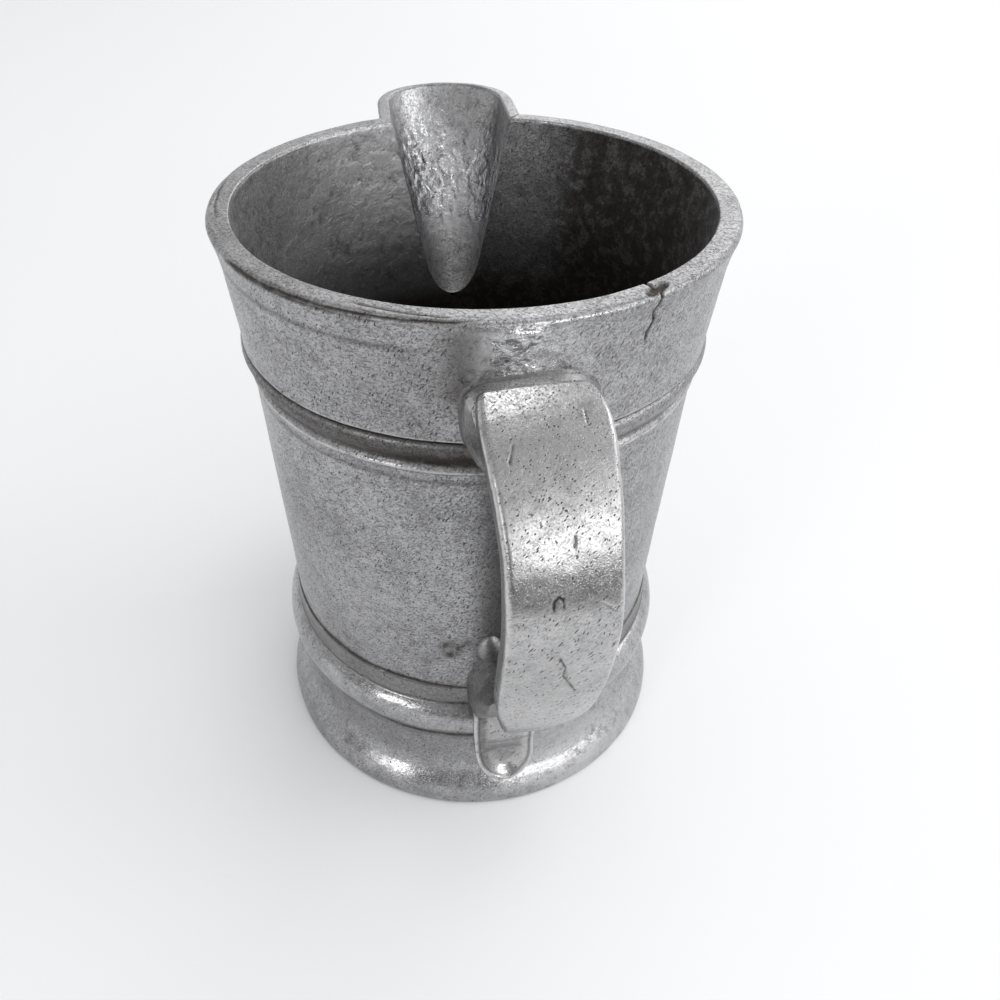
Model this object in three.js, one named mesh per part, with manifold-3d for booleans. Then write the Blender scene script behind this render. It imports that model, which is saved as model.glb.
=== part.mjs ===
// Creamer pitcher: a thick-walled metal vessel with a trough spout and a broad strap handle,
// soldered up from turned rings and cast pieces.
// Millimetres, +Z up. The pitcher rests on z = 0 with its axis on Z, the spout points along +Y
// and the handle stands on the -Y side.

import * as THREE from "three";
import { mergeVertices } from "three/addons/utils/BufferGeometryUtils.js";
import Module from "manifold-3d";

const wasm = await Module();
wasm.setup();

// Facets and fits
const ROUND_SEGMENTS = 64;
const CURVE_STEPS = 5;
const GAP = 0.3;

// Barrel: a slight taper below the band and a wider flare above it, each given by its outer
// radius at two heights; the inside has a break at the height of the band
const HEIGHT = 107.6;
const BARREL_BOTTOM = 18.6;
const LOWER_WALL = { radius: 35.7, z: 30.0, topRadius: 37.1, topZ: 82.4 };
const UPPER_WALL = { radius: 37.9, z: 88.4, topRadius: 39.2, topZ: 104.0 };
const INSIDE_RIM_RADIUS = 36.6;
const INSIDE_BREAK_RADIUS = 35.0;
const INSIDE_BREAK_Z = 86.0;
const INSIDE_FLOOR_RADIUS = 33.0;

// Rim: the thickened lip of the barrel, flat on top with a rounded outer edge
const RIM_RADIUS = 40.0;
const RIM_LIP_HEIGHT = 3.6;
const RIM_EDGE_ROUND = 1.2;

// Band: a rounded moulding round the upper barrel, with a sharp ridge under it
const RIDGE_BOTTOM = LOWER_WALL.topZ;
const RIDGE_TOP = 83.8;
const RIDGE_RADIUS = 37.75;
const BAND_BOTTOM_RADIUS = 37.45;
const BAND_TOP_RADIUS = 37.75;
const BAND_TOP = 88.1;
const BAND_SWELL_RADIUS = 39.1;

// Base bead: the half-round ring round the lower end of the barrel, with a plain band above it
const BEAD_TOP = 32.2;
const BEAD_BOTTOM = 18.6;
const BEAD_RADIUS = 38.4;
const BEAD_BELLY = 23.2;
const BEAD_FOOT_RADIUS = 36.2;
const BEAD_SHOULDER_Z = 26.8;
const BEAD_BAND_BOTTOM = 27.8;
const BEAD_BAND_RADIUS = 36.5;

// Foot: a hollow flared ring with a short upright edge
const FOOT_TOP = 18.3;
const FOOT_RADIUS = 40.3;
const FOOT_EDGE_HEIGHT = 2.2;
const FOOT_EDGE_ROUND = 0.5;
const FOOT_FLARE_RADIUS = 35.4;
const FOOT_FLARE_Z = 8.0;
const FOOT_RING_INNER = 36.8;
const FOOT_HOLLOW_RADIUS = 33.2;
const FOOT_HOLLOW_Z = 7.0;
const FOOT_LEDGE_INNER = 29.0;
const FOOT_LEDGE_THICKNESS = 3.0;

// Floor of the vessel and the solder rings that hold it
const FLOOR_THICKNESS = 2.8;
const SOLDER_LEG = 1.5;
const ROOT_SOLDER_LEG = 0.9;

// Spout: a tapering U-shaped trough; half widths and reaches from the axis at the rim and at its foot
const SPOUT_FOOT_Z = 72.3;
const SPOUT_BOTTOM = 64.0;
const SPOUT_ROOT_Y = 20.0;
const TROUGH_RIM = { half: 11.0, reach: 59.0 };
const TROUGH_FOOT = { half: 3.65, reach: 34.0 };
const SPOUT_RIM = { half: 13.2, reach: 60.2 };
const SPOUT_FOOT = { half: 5.85, reach: 36.7 };
const SPOUT_SOLDER_TOP = HEIGHT - RIM_LIP_HEIGHT - 1.0;

// Handle: strap of constant width and thickness, set a little off the line of the spout
const HANDLE_SKEW_DEG = 5.4;
const STRAP_WIDTH = 15.8;
const STRAP_THICKNESS = 4.0;
const STRAP_EDGE_ROUND = 0.8;
const STRAP_STEPS = 24;
// Outer face of the strap in the handle's own plane, as radius from the axis and height
const STRAP_FACE = [
  [40.9, 99.0],
  [48.3, 93.3],
  [54.0, 86.2],
  [57.6, 78.0],
  [58.7, 68.5],
  [57.2, 59.5],
  [53.6, 48.6],
  [48.5, 38.5],
];

// Upper block: root between barrel and strap, with a gusset under the strap
const UPPER_BLOCK_WIDTH = 17.6;
const UPPER_BLOCK_TOP = 99.3;
const UPPER_BLOCK_BOTTOM = 83.9;
const UPPER_BLOCK_REACH = 40.6;
const GUSSET_TIP = [46.8, 90.0];
const GUSSET_BEND = [40.6, 89.6];

// Lower block: root between the lower end of the strap and the barrel
const LOWER_BLOCK_WIDTH = 14.0;
const LOWER_BLOCK_BOTTOM = 29.6;
const LOWER_BLOCK_TOP = 39.0;
const LOWER_BLOCK_REACH = 41.2;
const LOWER_BLOCK_HEEL = [45.6, 32.4];
const LOWER_BLOCK_THROAT = [41.0, 38.6];

// Tongue: scooped plate with a raised border, hanging from the lower block over bead and foot
const TONGUE_TOP = LOWER_BLOCK_BOTTOM - GAP;
const TONGUE_TIP = 6.0;
const TONGUE_TOP_HALF = 6.6;
const TONGUE_LOW_HALF = 5.0;
const TONGUE_TOP_FACE = 41.2;
const TONGUE_TIP_FACE = 39.7;
const TONGUE_BORDER = 1.0;
const TONGUE_SCOOP = 0.9;

// Radius inside every wall, where the back of a root block starts before it is cut to the barrel
const ROOT_RADIUS = 31.0;

function metal(color, roughness) {
  return new THREE.MeshStandardMaterial({ color, roughness, metalness: 1.0 });
}

const castMetal = metal(0x97989a, 0.42);
const polishedMetal = metal(0xb3b3b2, 0.34);
const solderMetal = metal(0xa5a4a1, 0.5);

function barrelRadius(z) {
  const wall = z > INSIDE_BREAK_Z ? UPPER_WALL : LOWER_WALL;
  return THREE.MathUtils.mapLinear(z, wall.z, wall.topZ, wall.radius, wall.topRadius);
}

// A profile of radius and height, drawn counter-clockwise, spun about the Z axis.
function spin(path) {
  const geometry = new THREE.LatheGeometry(path.getPoints(CURVE_STEPS), ROUND_SEGMENTS);
  return geometry.rotateX(Math.PI / 2);
}

function solid(geometry) {
  const bare = geometry.index ? geometry.toNonIndexed() : geometry.clone();
  bare.deleteAttribute("normal");
  bare.deleteAttribute("uv");
  const merged = mergeVertices(bare, 1e-4);
  return new wasm.Manifold(
    new wasm.Mesh({
      numProp: 3,
      vertProperties: new Float32Array(merged.attributes.position.array),
      triVerts: new Uint32Array(merged.index.array),
    }),
  );
}

function geometryOf(manifold) {
  const mesh = manifold.getMesh();
  const geometry = new THREE.BufferGeometry();
  geometry.setAttribute("position", new THREE.BufferAttribute(mesh.vertProperties, 3));
  geometry.setIndex(new THREE.BufferAttribute(mesh.triVerts, 1));
  geometry.computeVertexNormals();
  return geometry;
}

function piece(name, geometry, material) {
  const mesh = new THREE.Mesh(geometry, material.clone());
  mesh.name = name;
  return mesh;
}

// Outside of the barrel from its lower end to the rim, moved out by grow.
function barrelOutside(grow) {
  const lipBottom = HEIGHT - RIM_LIP_HEIGHT;
  const outer = RIM_RADIUS + grow;
  const path = new THREE.Path();
  path.moveTo(barrelRadius(BARREL_BOTTOM) + grow, BARREL_BOTTOM);
  path.lineTo(barrelRadius(RIDGE_BOTTOM) + grow, RIDGE_BOTTOM);
  path.lineTo(RIDGE_RADIUS + grow, (RIDGE_BOTTOM + RIDGE_TOP) / 2);
  path.lineTo(BAND_BOTTOM_RADIUS + grow, RIDGE_TOP);
  path.quadraticCurveTo(
    BAND_SWELL_RADIUS + grow,
    (RIDGE_TOP + BAND_TOP) / 2,
    BAND_TOP_RADIUS + grow,
    BAND_TOP,
  );
  path.lineTo(UPPER_WALL.radius + grow, UPPER_WALL.z);
  path.lineTo(barrelRadius(lipBottom) + grow, lipBottom);
  path.quadraticCurveTo(outer, lipBottom + RIM_EDGE_ROUND, outer, lipBottom + 2 * RIM_EDGE_ROUND);
  path.lineTo(outer, HEIGHT - RIM_EDGE_ROUND);
  path.quadraticCurveTo(outer, HEIGHT, outer - RIM_EDGE_ROUND, HEIGHT);
  return path;
}

// The whole space inside the outer skin of the barrel, used to cut what is soldered onto it.
function barrelPlug(grow) {
  const path = barrelOutside(grow);
  path.lineTo(RIM_RADIUS - RIM_EDGE_ROUND + grow, HEIGHT + 1);
  path.lineTo(0, HEIGHT + 1);
  path.lineTo(0, BARREL_BOTTOM);
  path.closePath();
  return solid(spin(path));
}

function beadOutside(path, grow) {
  const outer = BEAD_RADIUS + grow;
  const band = BEAD_BAND_RADIUS + grow;
  path.lineTo(BEAD_FOOT_RADIUS + grow, BEAD_BOTTOM);
  path.quadraticCurveTo(outer, (BEAD_BOTTOM + BEAD_BELLY) / 2, outer, BEAD_BELLY);
  path.quadraticCurveTo(outer, BEAD_SHOULDER_Z, band, BEAD_BAND_BOTTOM);
  path.lineTo(band, BEAD_TOP + grow);
}

function beadPlug(grow) {
  const path = new THREE.Path();
  path.moveTo(0, BEAD_BOTTOM);
  beadOutside(path, grow);
  path.lineTo(0, BEAD_TOP + grow);
  path.closePath();
  return solid(spin(path));
}

// Outside of the foot from the floor up to its top face, moved out by grow.
function footOutside(path, grow) {
  const edge = FOOT_RADIUS + grow;
  path.lineTo(edge - FOOT_EDGE_ROUND, 0);
  path.lineTo(edge, FOOT_EDGE_ROUND);
  path.lineTo(edge, FOOT_EDGE_HEIGHT - FOOT_EDGE_ROUND);
  path.lineTo(edge - FOOT_EDGE_ROUND, FOOT_EDGE_HEIGHT);
  path.quadraticCurveTo(
    FOOT_FLARE_RADIUS + grow,
    FOOT_FLARE_Z,
    BEAD_FOOT_RADIUS + grow,
    FOOT_TOP,
  );
}

// The space the foot takes up, together with the seam between it and the bead.
function footPlug(grow) {
  const path = new THREE.Path();
  path.moveTo(0, 0);
  footOutside(path, grow);
  path.lineTo(BEAD_FOOT_RADIUS + grow, BEAD_BOTTOM);
  path.lineTo(0, BEAD_BOTTOM);
  path.closePath();
  return solid(spin(path));
}

// A trough with straight sides and a round end: a U outline whose half width and reach change
// evenly with height between the rim and the foot of the spout.
function trough(atRim, atFoot, grow, bottom, top) {
  const outline = new THREE.Shape();
  outline.moveTo(-1, -1);
  outline.lineTo(1, -1);
  outline.lineTo(1, 0);
  outline.absarc(0, 0, 1, 0, Math.PI, false);
  outline.closePath();
  const geometry = new THREE.ExtrudeGeometry(outline, {
    depth: 1,
    bevelEnabled: false,
    curveSegments: 18,
  });
  const points = geometry.attributes.position;
  for (let i = 0; i < points.count; i += 1) {
    const z = THREE.MathUtils.lerp(bottom, top, points.getZ(i));
    const share = (z - SPOUT_FOOT_Z) / (HEIGHT - SPOUT_FOOT_Z);
    const half = THREE.MathUtils.lerp(atFoot.half, atRim.half, share) + grow;
    const centre = THREE.MathUtils.lerp(atFoot.reach, atRim.reach, share) + grow - half;
    const along = points.getY(i);
    const stretch = along > 0 ? half : centre - SPOUT_ROOT_Y;
    points.setXYZ(i, points.getX(i) * half, centre + along * stretch, z);
  }
  return solid(geometry);
}

// A side outline of radius and height in the handle's plane, given width across it, and round
// edges where asked.
function acrossHandle(shape, width, round = 0) {
  const geometry = new THREE.ExtrudeGeometry(shape, {
    depth: width - 2 * round,
    bevelEnabled: round > 0,
    bevelThickness: round,
    bevelSize: round,
    bevelOffset: -round,
    bevelSegments: 3,
    curveSegments: CURVE_STEPS,
  });
  geometry.translate(0, 0, round - width / 2);
  const outward = new THREE.Vector3(0, -1, 0);
  const up = new THREE.Vector3(0, 0, 1);
  const across = new THREE.Vector3(-1, 0, 0);
  return solid(geometry.applyMatrix4(new THREE.Matrix4().makeBasis(outward, up, across)));
}

// A front outline of width and height, given depth outwards from one radius to another.
function outwardFrom(shape, innerRadius, outerRadius) {
  const geometry = new THREE.ExtrudeGeometry(shape, {
    depth: outerRadius - innerRadius,
    bevelEnabled: false,
    curveSegments: 2 * CURVE_STEPS,
  });
  geometry.translate(0, 0, innerRadius);
  const across = new THREE.Vector3(1, 0, 0);
  const up = new THREE.Vector3(0, 0, 1);
  const outward = new THREE.Vector3(0, -1, 0);
  return solid(geometry.applyMatrix4(new THREE.Matrix4().makeBasis(across, up, outward)));
}

function polygon(points) {
  return new THREE.Shape(points.map(([x, y]) => new THREE.Vector2(x, y)));
}

function rectangle(halfWidth, low, high) {
  return polygon([
    [-halfWidth, low],
    [halfWidth, low],
    [halfWidth, high],
    [-halfWidth, high],
  ]);
}

function makeBarrel(troughSpace) {
  const path = barrelOutside(0);
  path.lineTo(INSIDE_RIM_RADIUS, HEIGHT);
  path.lineTo(INSIDE_BREAK_RADIUS, INSIDE_BREAK_Z);
  path.lineTo(INSIDE_FLOOR_RADIUS, BARREL_BOTTOM);
  path.closePath();
  const wall = solid(spin(path)).subtract(troughSpace);
  return piece("barrel", geometryOf(wall), castMetal);
}

function makeSpout(troughSpace) {
  const outside = trough(SPOUT_RIM, SPOUT_FOOT, 0, SPOUT_BOTTOM, HEIGHT);
  const shell = outside.subtract(troughSpace).subtract(barrelPlug(GAP));
  return piece("spout", geometryOf(shell), castMetal);
}

// Fillet of solder that follows the spout down both sides and round its foot.
function makeSpoutSolder() {
  const around = trough(SPOUT_RIM, SPOUT_FOOT, SOLDER_LEG, SPOUT_BOTTOM, SPOUT_SOLDER_TOP);
  const spoutSkin = trough(SPOUT_RIM, SPOUT_FOOT, GAP, SPOUT_BOTTOM, HEIGHT);
  const fillet = around.intersect(barrelPlug(SOLDER_LEG)).subtract(spoutSkin).subtract(barrelPlug(GAP));
  return piece("spout_solder", geometryOf(fillet), solderMetal);
}

function makeBottomDisc() {
  const radius = INSIDE_FLOOR_RADIUS - GAP;
  const path = new THREE.Path();
  path.moveTo(0, BARREL_BOTTOM);
  path.lineTo(radius, BARREL_BOTTOM);
  path.lineTo(radius, BARREL_BOTTOM + FLOOR_THICKNESS);
  path.lineTo(0, BARREL_BOTTOM + FLOOR_THICKNESS);
  return piece("bottom_disc", spin(path), castMetal);
}

function solderRing(name, radius, z, inward, upward) {
  const path = new THREE.Path();
  path.moveTo(radius, z);
  if (upward > 0) {
    path.lineTo(radius, z + upward);
    path.lineTo(radius - inward, z);
  } else {
    path.lineTo(radius - inward, z);
    path.lineTo(radius, z + upward);
  }
  path.closePath();
  return piece(name, spin(path), solderMetal);
}

function makeBaseBead() {
  const path = new THREE.Path();
  path.moveTo(barrelRadius(BEAD_BOTTOM) + GAP, BEAD_BOTTOM);
  beadOutside(path, 0);
  path.lineTo(barrelRadius(BEAD_TOP) + GAP, BEAD_TOP);
  path.closePath();
  return piece("base_bead", spin(path), polishedMetal);
}

function makeFootRing() {
  const ledgeUnderside = FOOT_TOP - FOOT_LEDGE_THICKNESS;
  const path = new THREE.Path();
  path.moveTo(FOOT_RING_INNER, 0);
  footOutside(path, 0);
  path.lineTo(FOOT_LEDGE_INNER, FOOT_TOP);
  path.lineTo(FOOT_LEDGE_INNER, ledgeUnderside);
  path.lineTo(FOOT_LEDGE_INNER + FOOT_LEDGE_THICKNESS, ledgeUnderside);
  path.quadraticCurveTo(FOOT_HOLLOW_RADIUS, FOOT_HOLLOW_Z, FOOT_RING_INNER, FOOT_EDGE_HEIGHT);
  path.closePath();
  return piece("foot_ring", spin(path), castMetal);
}

// Side outline of the strap, with every face moved out by grow.
function strapOutline(grow) {
  const face = new THREE.SplineCurve(STRAP_FACE.map(([r, z]) => new THREE.Vector2(r, z)));
  const outer = [];
  const inner = [];
  for (let i = 0; i <= STRAP_STEPS; i += 1) {
    const along = i / STRAP_STEPS;
    const point = face.getPoint(along);
    const tangent = face.getTangent(along);
    const outward = new THREE.Vector2(-tangent.y, tangent.x);
    const past = i === 0 ? -grow : i === STRAP_STEPS ? grow : 0;
    point.addScaledVector(tangent, past);
    outer.push(point.clone().addScaledVector(outward, grow));
    inner.push(point.clone().addScaledVector(outward, -STRAP_THICKNESS - grow));
  }
  return new THREE.Shape([...outer, ...inner.reverse()]);
}

function makeStrap() {
  const strap = acrossHandle(strapOutline(0), STRAP_WIDTH, STRAP_EDGE_ROUND);
  return piece("handle_strap", geometryOf(strap), polishedMetal);
}

function makeUpperBlock() {
  const side = new THREE.Shape();
  side.moveTo(ROOT_RADIUS, UPPER_BLOCK_BOTTOM);
  side.lineTo(barrelRadius(UPPER_BLOCK_BOTTOM), UPPER_BLOCK_BOTTOM);
  side.quadraticCurveTo(...GUSSET_BEND, ...GUSSET_TIP);
  side.lineTo(UPPER_BLOCK_REACH, UPPER_BLOCK_TOP);
  side.lineTo(ROOT_RADIUS, UPPER_BLOCK_TOP);
  side.closePath();
  const strapRoom = acrossHandle(strapOutline(GAP), UPPER_BLOCK_WIDTH + 2);
  const block = acrossHandle(side, UPPER_BLOCK_WIDTH).subtract(strapRoom).subtract(barrelPlug(GAP));
  return piece("upper_handle_block", geometryOf(block), castMetal);
}

// Fillet of solder all round the foot of the upper block.
function makeUpperSolder() {
  const half = UPPER_BLOCK_WIDTH / 2;
  const leg = ROOT_SOLDER_LEG;
  const frame = rectangle(half + leg, UPPER_BLOCK_BOTTOM - leg, UPPER_BLOCK_TOP + leg);
  frame.holes.push(rectangle(half + GAP, UPPER_BLOCK_BOTTOM - GAP, UPPER_BLOCK_TOP + GAP));
  const fillet = outwardFrom(frame, ROOT_RADIUS, UPPER_BLOCK_REACH)
    .intersect(barrelPlug(leg))
    .subtract(barrelPlug(GAP));
  return piece("upper_handle_solder", geometryOf(fillet), solderMetal);
}

function lowerBlockSide() {
  const strapEnd = STRAP_FACE[STRAP_FACE.length - 1];
  const strapBack = [strapEnd[0] - STRAP_THICKNESS, strapEnd[1] + STRAP_THICKNESS / 2];
  const side = new THREE.Shape();
  side.moveTo(ROOT_RADIUS, LOWER_BLOCK_BOTTOM);
  side.lineTo(LOWER_BLOCK_REACH, LOWER_BLOCK_BOTTOM);
  side.quadraticCurveTo(...LOWER_BLOCK_HEEL, ...strapEnd);
  side.lineTo(...strapBack);
  side.quadraticCurveTo(...LOWER_BLOCK_THROAT, barrelRadius(LOWER_BLOCK_TOP), LOWER_BLOCK_TOP);
  side.lineTo(ROOT_RADIUS, LOWER_BLOCK_TOP);
  side.closePath();
  return side;
}

function makeLowerBlock() {
  const strapRoom = acrossHandle(strapOutline(GAP), LOWER_BLOCK_WIDTH + 2);
  const block = acrossHandle(lowerBlockSide(), LOWER_BLOCK_WIDTH)
    .subtract(strapRoom)
    .subtract(barrelPlug(GAP))
    .subtract(beadPlug(GAP));
  return piece("lower_handle_block", geometryOf(block), castMetal);
}

// Fillet of solder over the top and down both sides of the lower block, ending above the bead.
function makeLowerSolder() {
  const half = LOWER_BLOCK_WIDTH / 2;
  const low = BEAD_TOP + GAP;
  const arch = rectangle(half + ROOT_SOLDER_LEG, low, LOWER_BLOCK_TOP + ROOT_SOLDER_LEG);
  const space = outwardFrom(rectangle(half + GAP, low - 1, LOWER_BLOCK_TOP + GAP), ROOT_RADIUS, LOWER_BLOCK_REACH);
  const fillet = outwardFrom(arch, ROOT_RADIUS, LOWER_BLOCK_REACH)
    .intersect(barrelPlug(ROOT_SOLDER_LEG))
    .subtract(barrelPlug(GAP))
    .subtract(beadPlug(GAP))
    .subtract(space);
  return piece("lower_handle_solder", geometryOf(fillet), solderMetal);
}

// Front outline of the tongue: sides that draw in, and a round tip.
function tongueFront(inset) {
  const low = TONGUE_LOW_HALF - inset;
  const top = TONGUE_TOP_HALF - inset;
  const centre = TONGUE_TIP + TONGUE_LOW_HALF;
  const front = new THREE.Shape();
  front.moveTo(top, TONGUE_TOP - inset);
  front.lineTo(-top, TONGUE_TOP - inset);
  front.lineTo(-low, centre);
  front.absarc(0, centre, low, Math.PI, 2 * Math.PI, false);
  front.closePath();
  return front;
}

// Side outline of the space in front of the tongue, sunk by depth below its sloping face.
function tongueSide(depth) {
  return polygon([
    [ROOT_RADIUS, TONGUE_TIP - 1],
    [TONGUE_TIP_FACE - depth, TONGUE_TIP - 1],
    [TONGUE_TOP_FACE - depth, TONGUE_TOP + 1],
    [ROOT_RADIUS, TONGUE_TOP + 1],
  ]);
}

function makeTongue() {
  const reach = TONGUE_TOP_FACE + 1;
  const width = 2 * TONGUE_TOP_HALF + 2;
  const plate = outwardFrom(tongueFront(0), ROOT_RADIUS, reach).intersect(acrossHandle(tongueSide(0), width));
  const scoop = outwardFrom(tongueFront(TONGUE_BORDER), ROOT_RADIUS, reach).subtract(
    acrossHandle(tongueSide(TONGUE_SCOOP), width),
  );
  const tongue = plate
    .subtract(scoop)
    .subtract(barrelPlug(GAP))
    .subtract(beadPlug(GAP))
    .subtract(footPlug(GAP));
  return piece("handle_tongue", geometryOf(tongue), castMetal);
}

const troughSpace = trough(TROUGH_RIM, TROUGH_FOOT, 0, SPOUT_BOTTOM, HEIGHT + 2);
const floorTop = BARREL_BOTTOM + FLOOR_THICKNESS;
const floorSolderRadius = INSIDE_FLOOR_RADIUS - GAP;

const vessel = new THREE.Group();
vessel.add(
  makeBarrel(troughSpace),
  makeSpout(troughSpace),
  makeSpoutSolder(),
  makeBottomDisc(),
  solderRing("bottom_solder", floorSolderRadius, floorTop + GAP, SOLDER_LEG, SOLDER_LEG),
  makeBaseBead(),
  makeFootRing(),
  solderRing("foot_solder", FOOT_LEDGE_INNER - GAP, BARREL_BOTTOM - GAP, SOLDER_LEG, -SOLDER_LEG),
);

const handle = new THREE.Group();
handle.rotation.z = THREE.MathUtils.degToRad(HANDLE_SKEW_DEG);
handle.add(
  makeStrap(),
  makeUpperBlock(),
  makeUpperSolder(),
  makeLowerBlock(),
  makeLowerSolder(),
  makeTongue(),
);

const pitcher = new THREE.Group();
pitcher.add(vessel, handle);

export default pitcher;
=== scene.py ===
"""Creamer pitcher in dull cast metal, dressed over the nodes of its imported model.

The vessel stands on z = 0 with its axis on Z. The spout points along +Y, and the handle
stands on the -Y side, a few degrees towards +X. Sizes are in millimetres, meshes in metres.
"""

import logging
import math
from collections.abc import Callable
from dataclasses import dataclass, field
from enum import Enum

import bmesh
import bpy
import numpy as np
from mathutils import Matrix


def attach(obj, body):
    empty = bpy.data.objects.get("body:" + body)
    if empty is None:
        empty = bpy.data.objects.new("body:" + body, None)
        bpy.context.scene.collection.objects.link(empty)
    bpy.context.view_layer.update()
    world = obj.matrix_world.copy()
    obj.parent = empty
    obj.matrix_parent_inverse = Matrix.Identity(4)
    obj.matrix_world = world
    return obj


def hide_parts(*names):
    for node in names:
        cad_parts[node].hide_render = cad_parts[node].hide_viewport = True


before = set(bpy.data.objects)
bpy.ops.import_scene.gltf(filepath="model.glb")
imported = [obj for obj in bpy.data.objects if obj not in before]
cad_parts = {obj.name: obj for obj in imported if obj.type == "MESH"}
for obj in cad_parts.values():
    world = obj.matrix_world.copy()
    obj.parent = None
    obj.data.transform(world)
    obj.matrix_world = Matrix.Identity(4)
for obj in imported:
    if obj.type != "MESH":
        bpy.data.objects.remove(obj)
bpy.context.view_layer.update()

MM = 0.001
HEIGHT = 107.6
LOG = logging.getLogger("creamer")


class Slot(Enum):
    """Finish slots of the record."""

    CAST = "cast_metal"
    BURNISHED = "burnished_metal"
    SOLDER = "solder"


# Curves and grids


def smooth_curve(points: list[tuple[float, float]], count: int) -> np.ndarray:
    """Smooth curve through points, sampled at even spacing.

    Args:
        points: Corner points in the order of the curve.
        count: Number of samples.

    Returns:
        Array of count rows of two coordinates.
    """
    knots = np.array(points, float)
    span = np.concatenate([[0.0], np.cumsum(np.hypot(*np.diff(knots, axis=0).T))])
    slopes = np.gradient(knots, span, axis=0)
    fine = np.linspace(0.0, span[-1], 40 * len(knots))
    left = np.clip(np.searchsorted(span, fine, side="right") - 1, 0, len(knots) - 2)
    step = (span[left + 1] - span[left])[:, None]
    part = (fine - span[left])[:, None] / step
    curve = (
        (1 + 2 * part) * (1 - part) ** 2 * knots[left]
        + part * (1 - part) ** 2 * step * slopes[left]
        + part**2 * (3 - 2 * part) * knots[left + 1]
        + part**2 * (part - 1) * step * slopes[left + 1]
    )
    length = np.concatenate([[0.0], np.cumsum(np.hypot(*np.diff(curve, axis=0).T))])
    even = np.linspace(0.0, length[-1], count)
    return np.stack([np.interp(even, length, curve[:, axis]) for axis in (0, 1)], axis=-1)


def arc(centre: tuple[float, float], radius: float, start: float, end: float, count: int) -> np.ndarray:
    """Points of an arc in the plane, angles in degrees from the first axis."""
    turn = np.radians(np.linspace(start, end, count))
    return np.stack([centre[0] + radius * np.cos(turn), centre[1] + radius * np.sin(turn)], axis=-1)


def fade(value: np.ndarray, low: float, high: float) -> np.ndarray:
    """Smooth share from 0 at low to 1 at high."""
    part = np.clip((np.asarray(value, float) - low) / (high - low), 0.0, 1.0)
    return part * part * (3.0 - 2.0 * part)


def bell(value: np.ndarray, centre: float, width: float) -> np.ndarray:
    """Smooth share that is 1 at the centre and falls away over the width."""
    return np.exp(-(((value - centre) / width) ** 2))


def unit(vectors: np.ndarray) -> np.ndarray:
    """Vectors of the last axis, each brought to a length of 1."""
    return vectors / np.maximum(np.linalg.norm(vectors, axis=-1, keepdims=True), 1e-9)


def lathe(profile: np.ndarray, turns: np.ndarray) -> np.ndarray:
    """Grid made by turning a profile about Z.

    Args:
        profile: Rows of radius and height.
        turns: Angles from -Y towards +X, one for each column, or one row of them for each row.

    Returns:
        Grid of points, profile rows by turn columns.
    """
    turns = np.broadcast_to(turns, (len(profile), np.shape(turns)[-1]))
    radius = profile[:, :1]
    height = np.broadcast_to(profile[:, 1:], turns.shape)
    return np.stack([radius * np.sin(turns), -radius * np.cos(turns), height], axis=-1)


def grid_normals(grid: np.ndarray, round_rows: bool, round_columns: bool) -> np.ndarray:
    """Unit normals of a grid, all on the same side.

    Args:
        grid: Rows and columns of points.
        round_rows: Whether the last row meets the first.
        round_columns: Whether the last column meets the first.

    Returns:
        Array of the grid's shape.
    """
    slopes = []
    for axis, closed in ((0, round_rows), (1, round_columns)):
        if closed:
            slopes.append(np.roll(grid, -1, axis) - np.roll(grid, 1, axis))
        else:
            slopes.append(np.gradient(grid, axis=axis))
    return unit(np.cross(slopes[0], slopes[1]))


@dataclass(frozen=True)
class Unevenness:
    """Waviness of a casting finished by hand: each layer has a span and a height."""

    seed: int
    layers: tuple[tuple[float, float], ...]

    def at(self, points: np.ndarray) -> np.ndarray:
        """Height of the surface above its true shape.

        Args:
            points: Points in millimetres.

        Returns:
            One height in millimetres for each point.
        """
        total = np.zeros(points.shape[:-1])
        for index, (span, height) in enumerate(self.layers):
            total += height * self._layer(points / span, self.seed + 31 * index)
        return total

    @staticmethod
    def _layer(points: np.ndarray, seed: int) -> np.ndarray:
        """Smooth random values, one cell per unit.

        Args:
            points: Points in cells.
            seed: Number that picks the pattern.

        Returns:
            One value from -1 to 1 for each point.
        """
        cells = np.floor(points).astype(np.int64)
        part = points - cells
        ease = part * part * (3.0 - 2.0 * part)
        total = np.zeros(points.shape[:-1])
        for corner in range(8):
            step = np.array([corner & 1, corner >> 1 & 1, corner >> 2 & 1])
            weight = np.prod(np.where(step == 1, ease, 1.0 - ease), axis=-1)
            total += weight * Unevenness._scatter(cells + step, seed)
        return total

    @staticmethod
    def _scatter(cells: np.ndarray, seed: int) -> np.ndarray:
        """Random value of each cell.

        Args:
            cells: Whole numbers of the cells.
            seed: Number that picks the pattern.

        Returns:
            One value from -1 to 1 for each cell.
        """
        keys = cells.astype(np.uint64)
        mixed = keys[..., 0] * np.uint64(0x9E3779B185EBCA87)
        mixed ^= keys[..., 1] * np.uint64(0xC2B2AE3D27D4EB4F)
        mixed ^= keys[..., 2] * np.uint64(0x165667B19E3779F9)
        mixed ^= np.uint64(seed * 7919 + 104729)
        mixed ^= mixed >> np.uint64(29)
        mixed *= np.uint64(0xBF58476D1CE4E5B9)
        mixed ^= mixed >> np.uint64(32)
        return (mixed & np.uint64(0xFFFFFF)).astype(float) / 0x7FFFFF - 1.0


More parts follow.
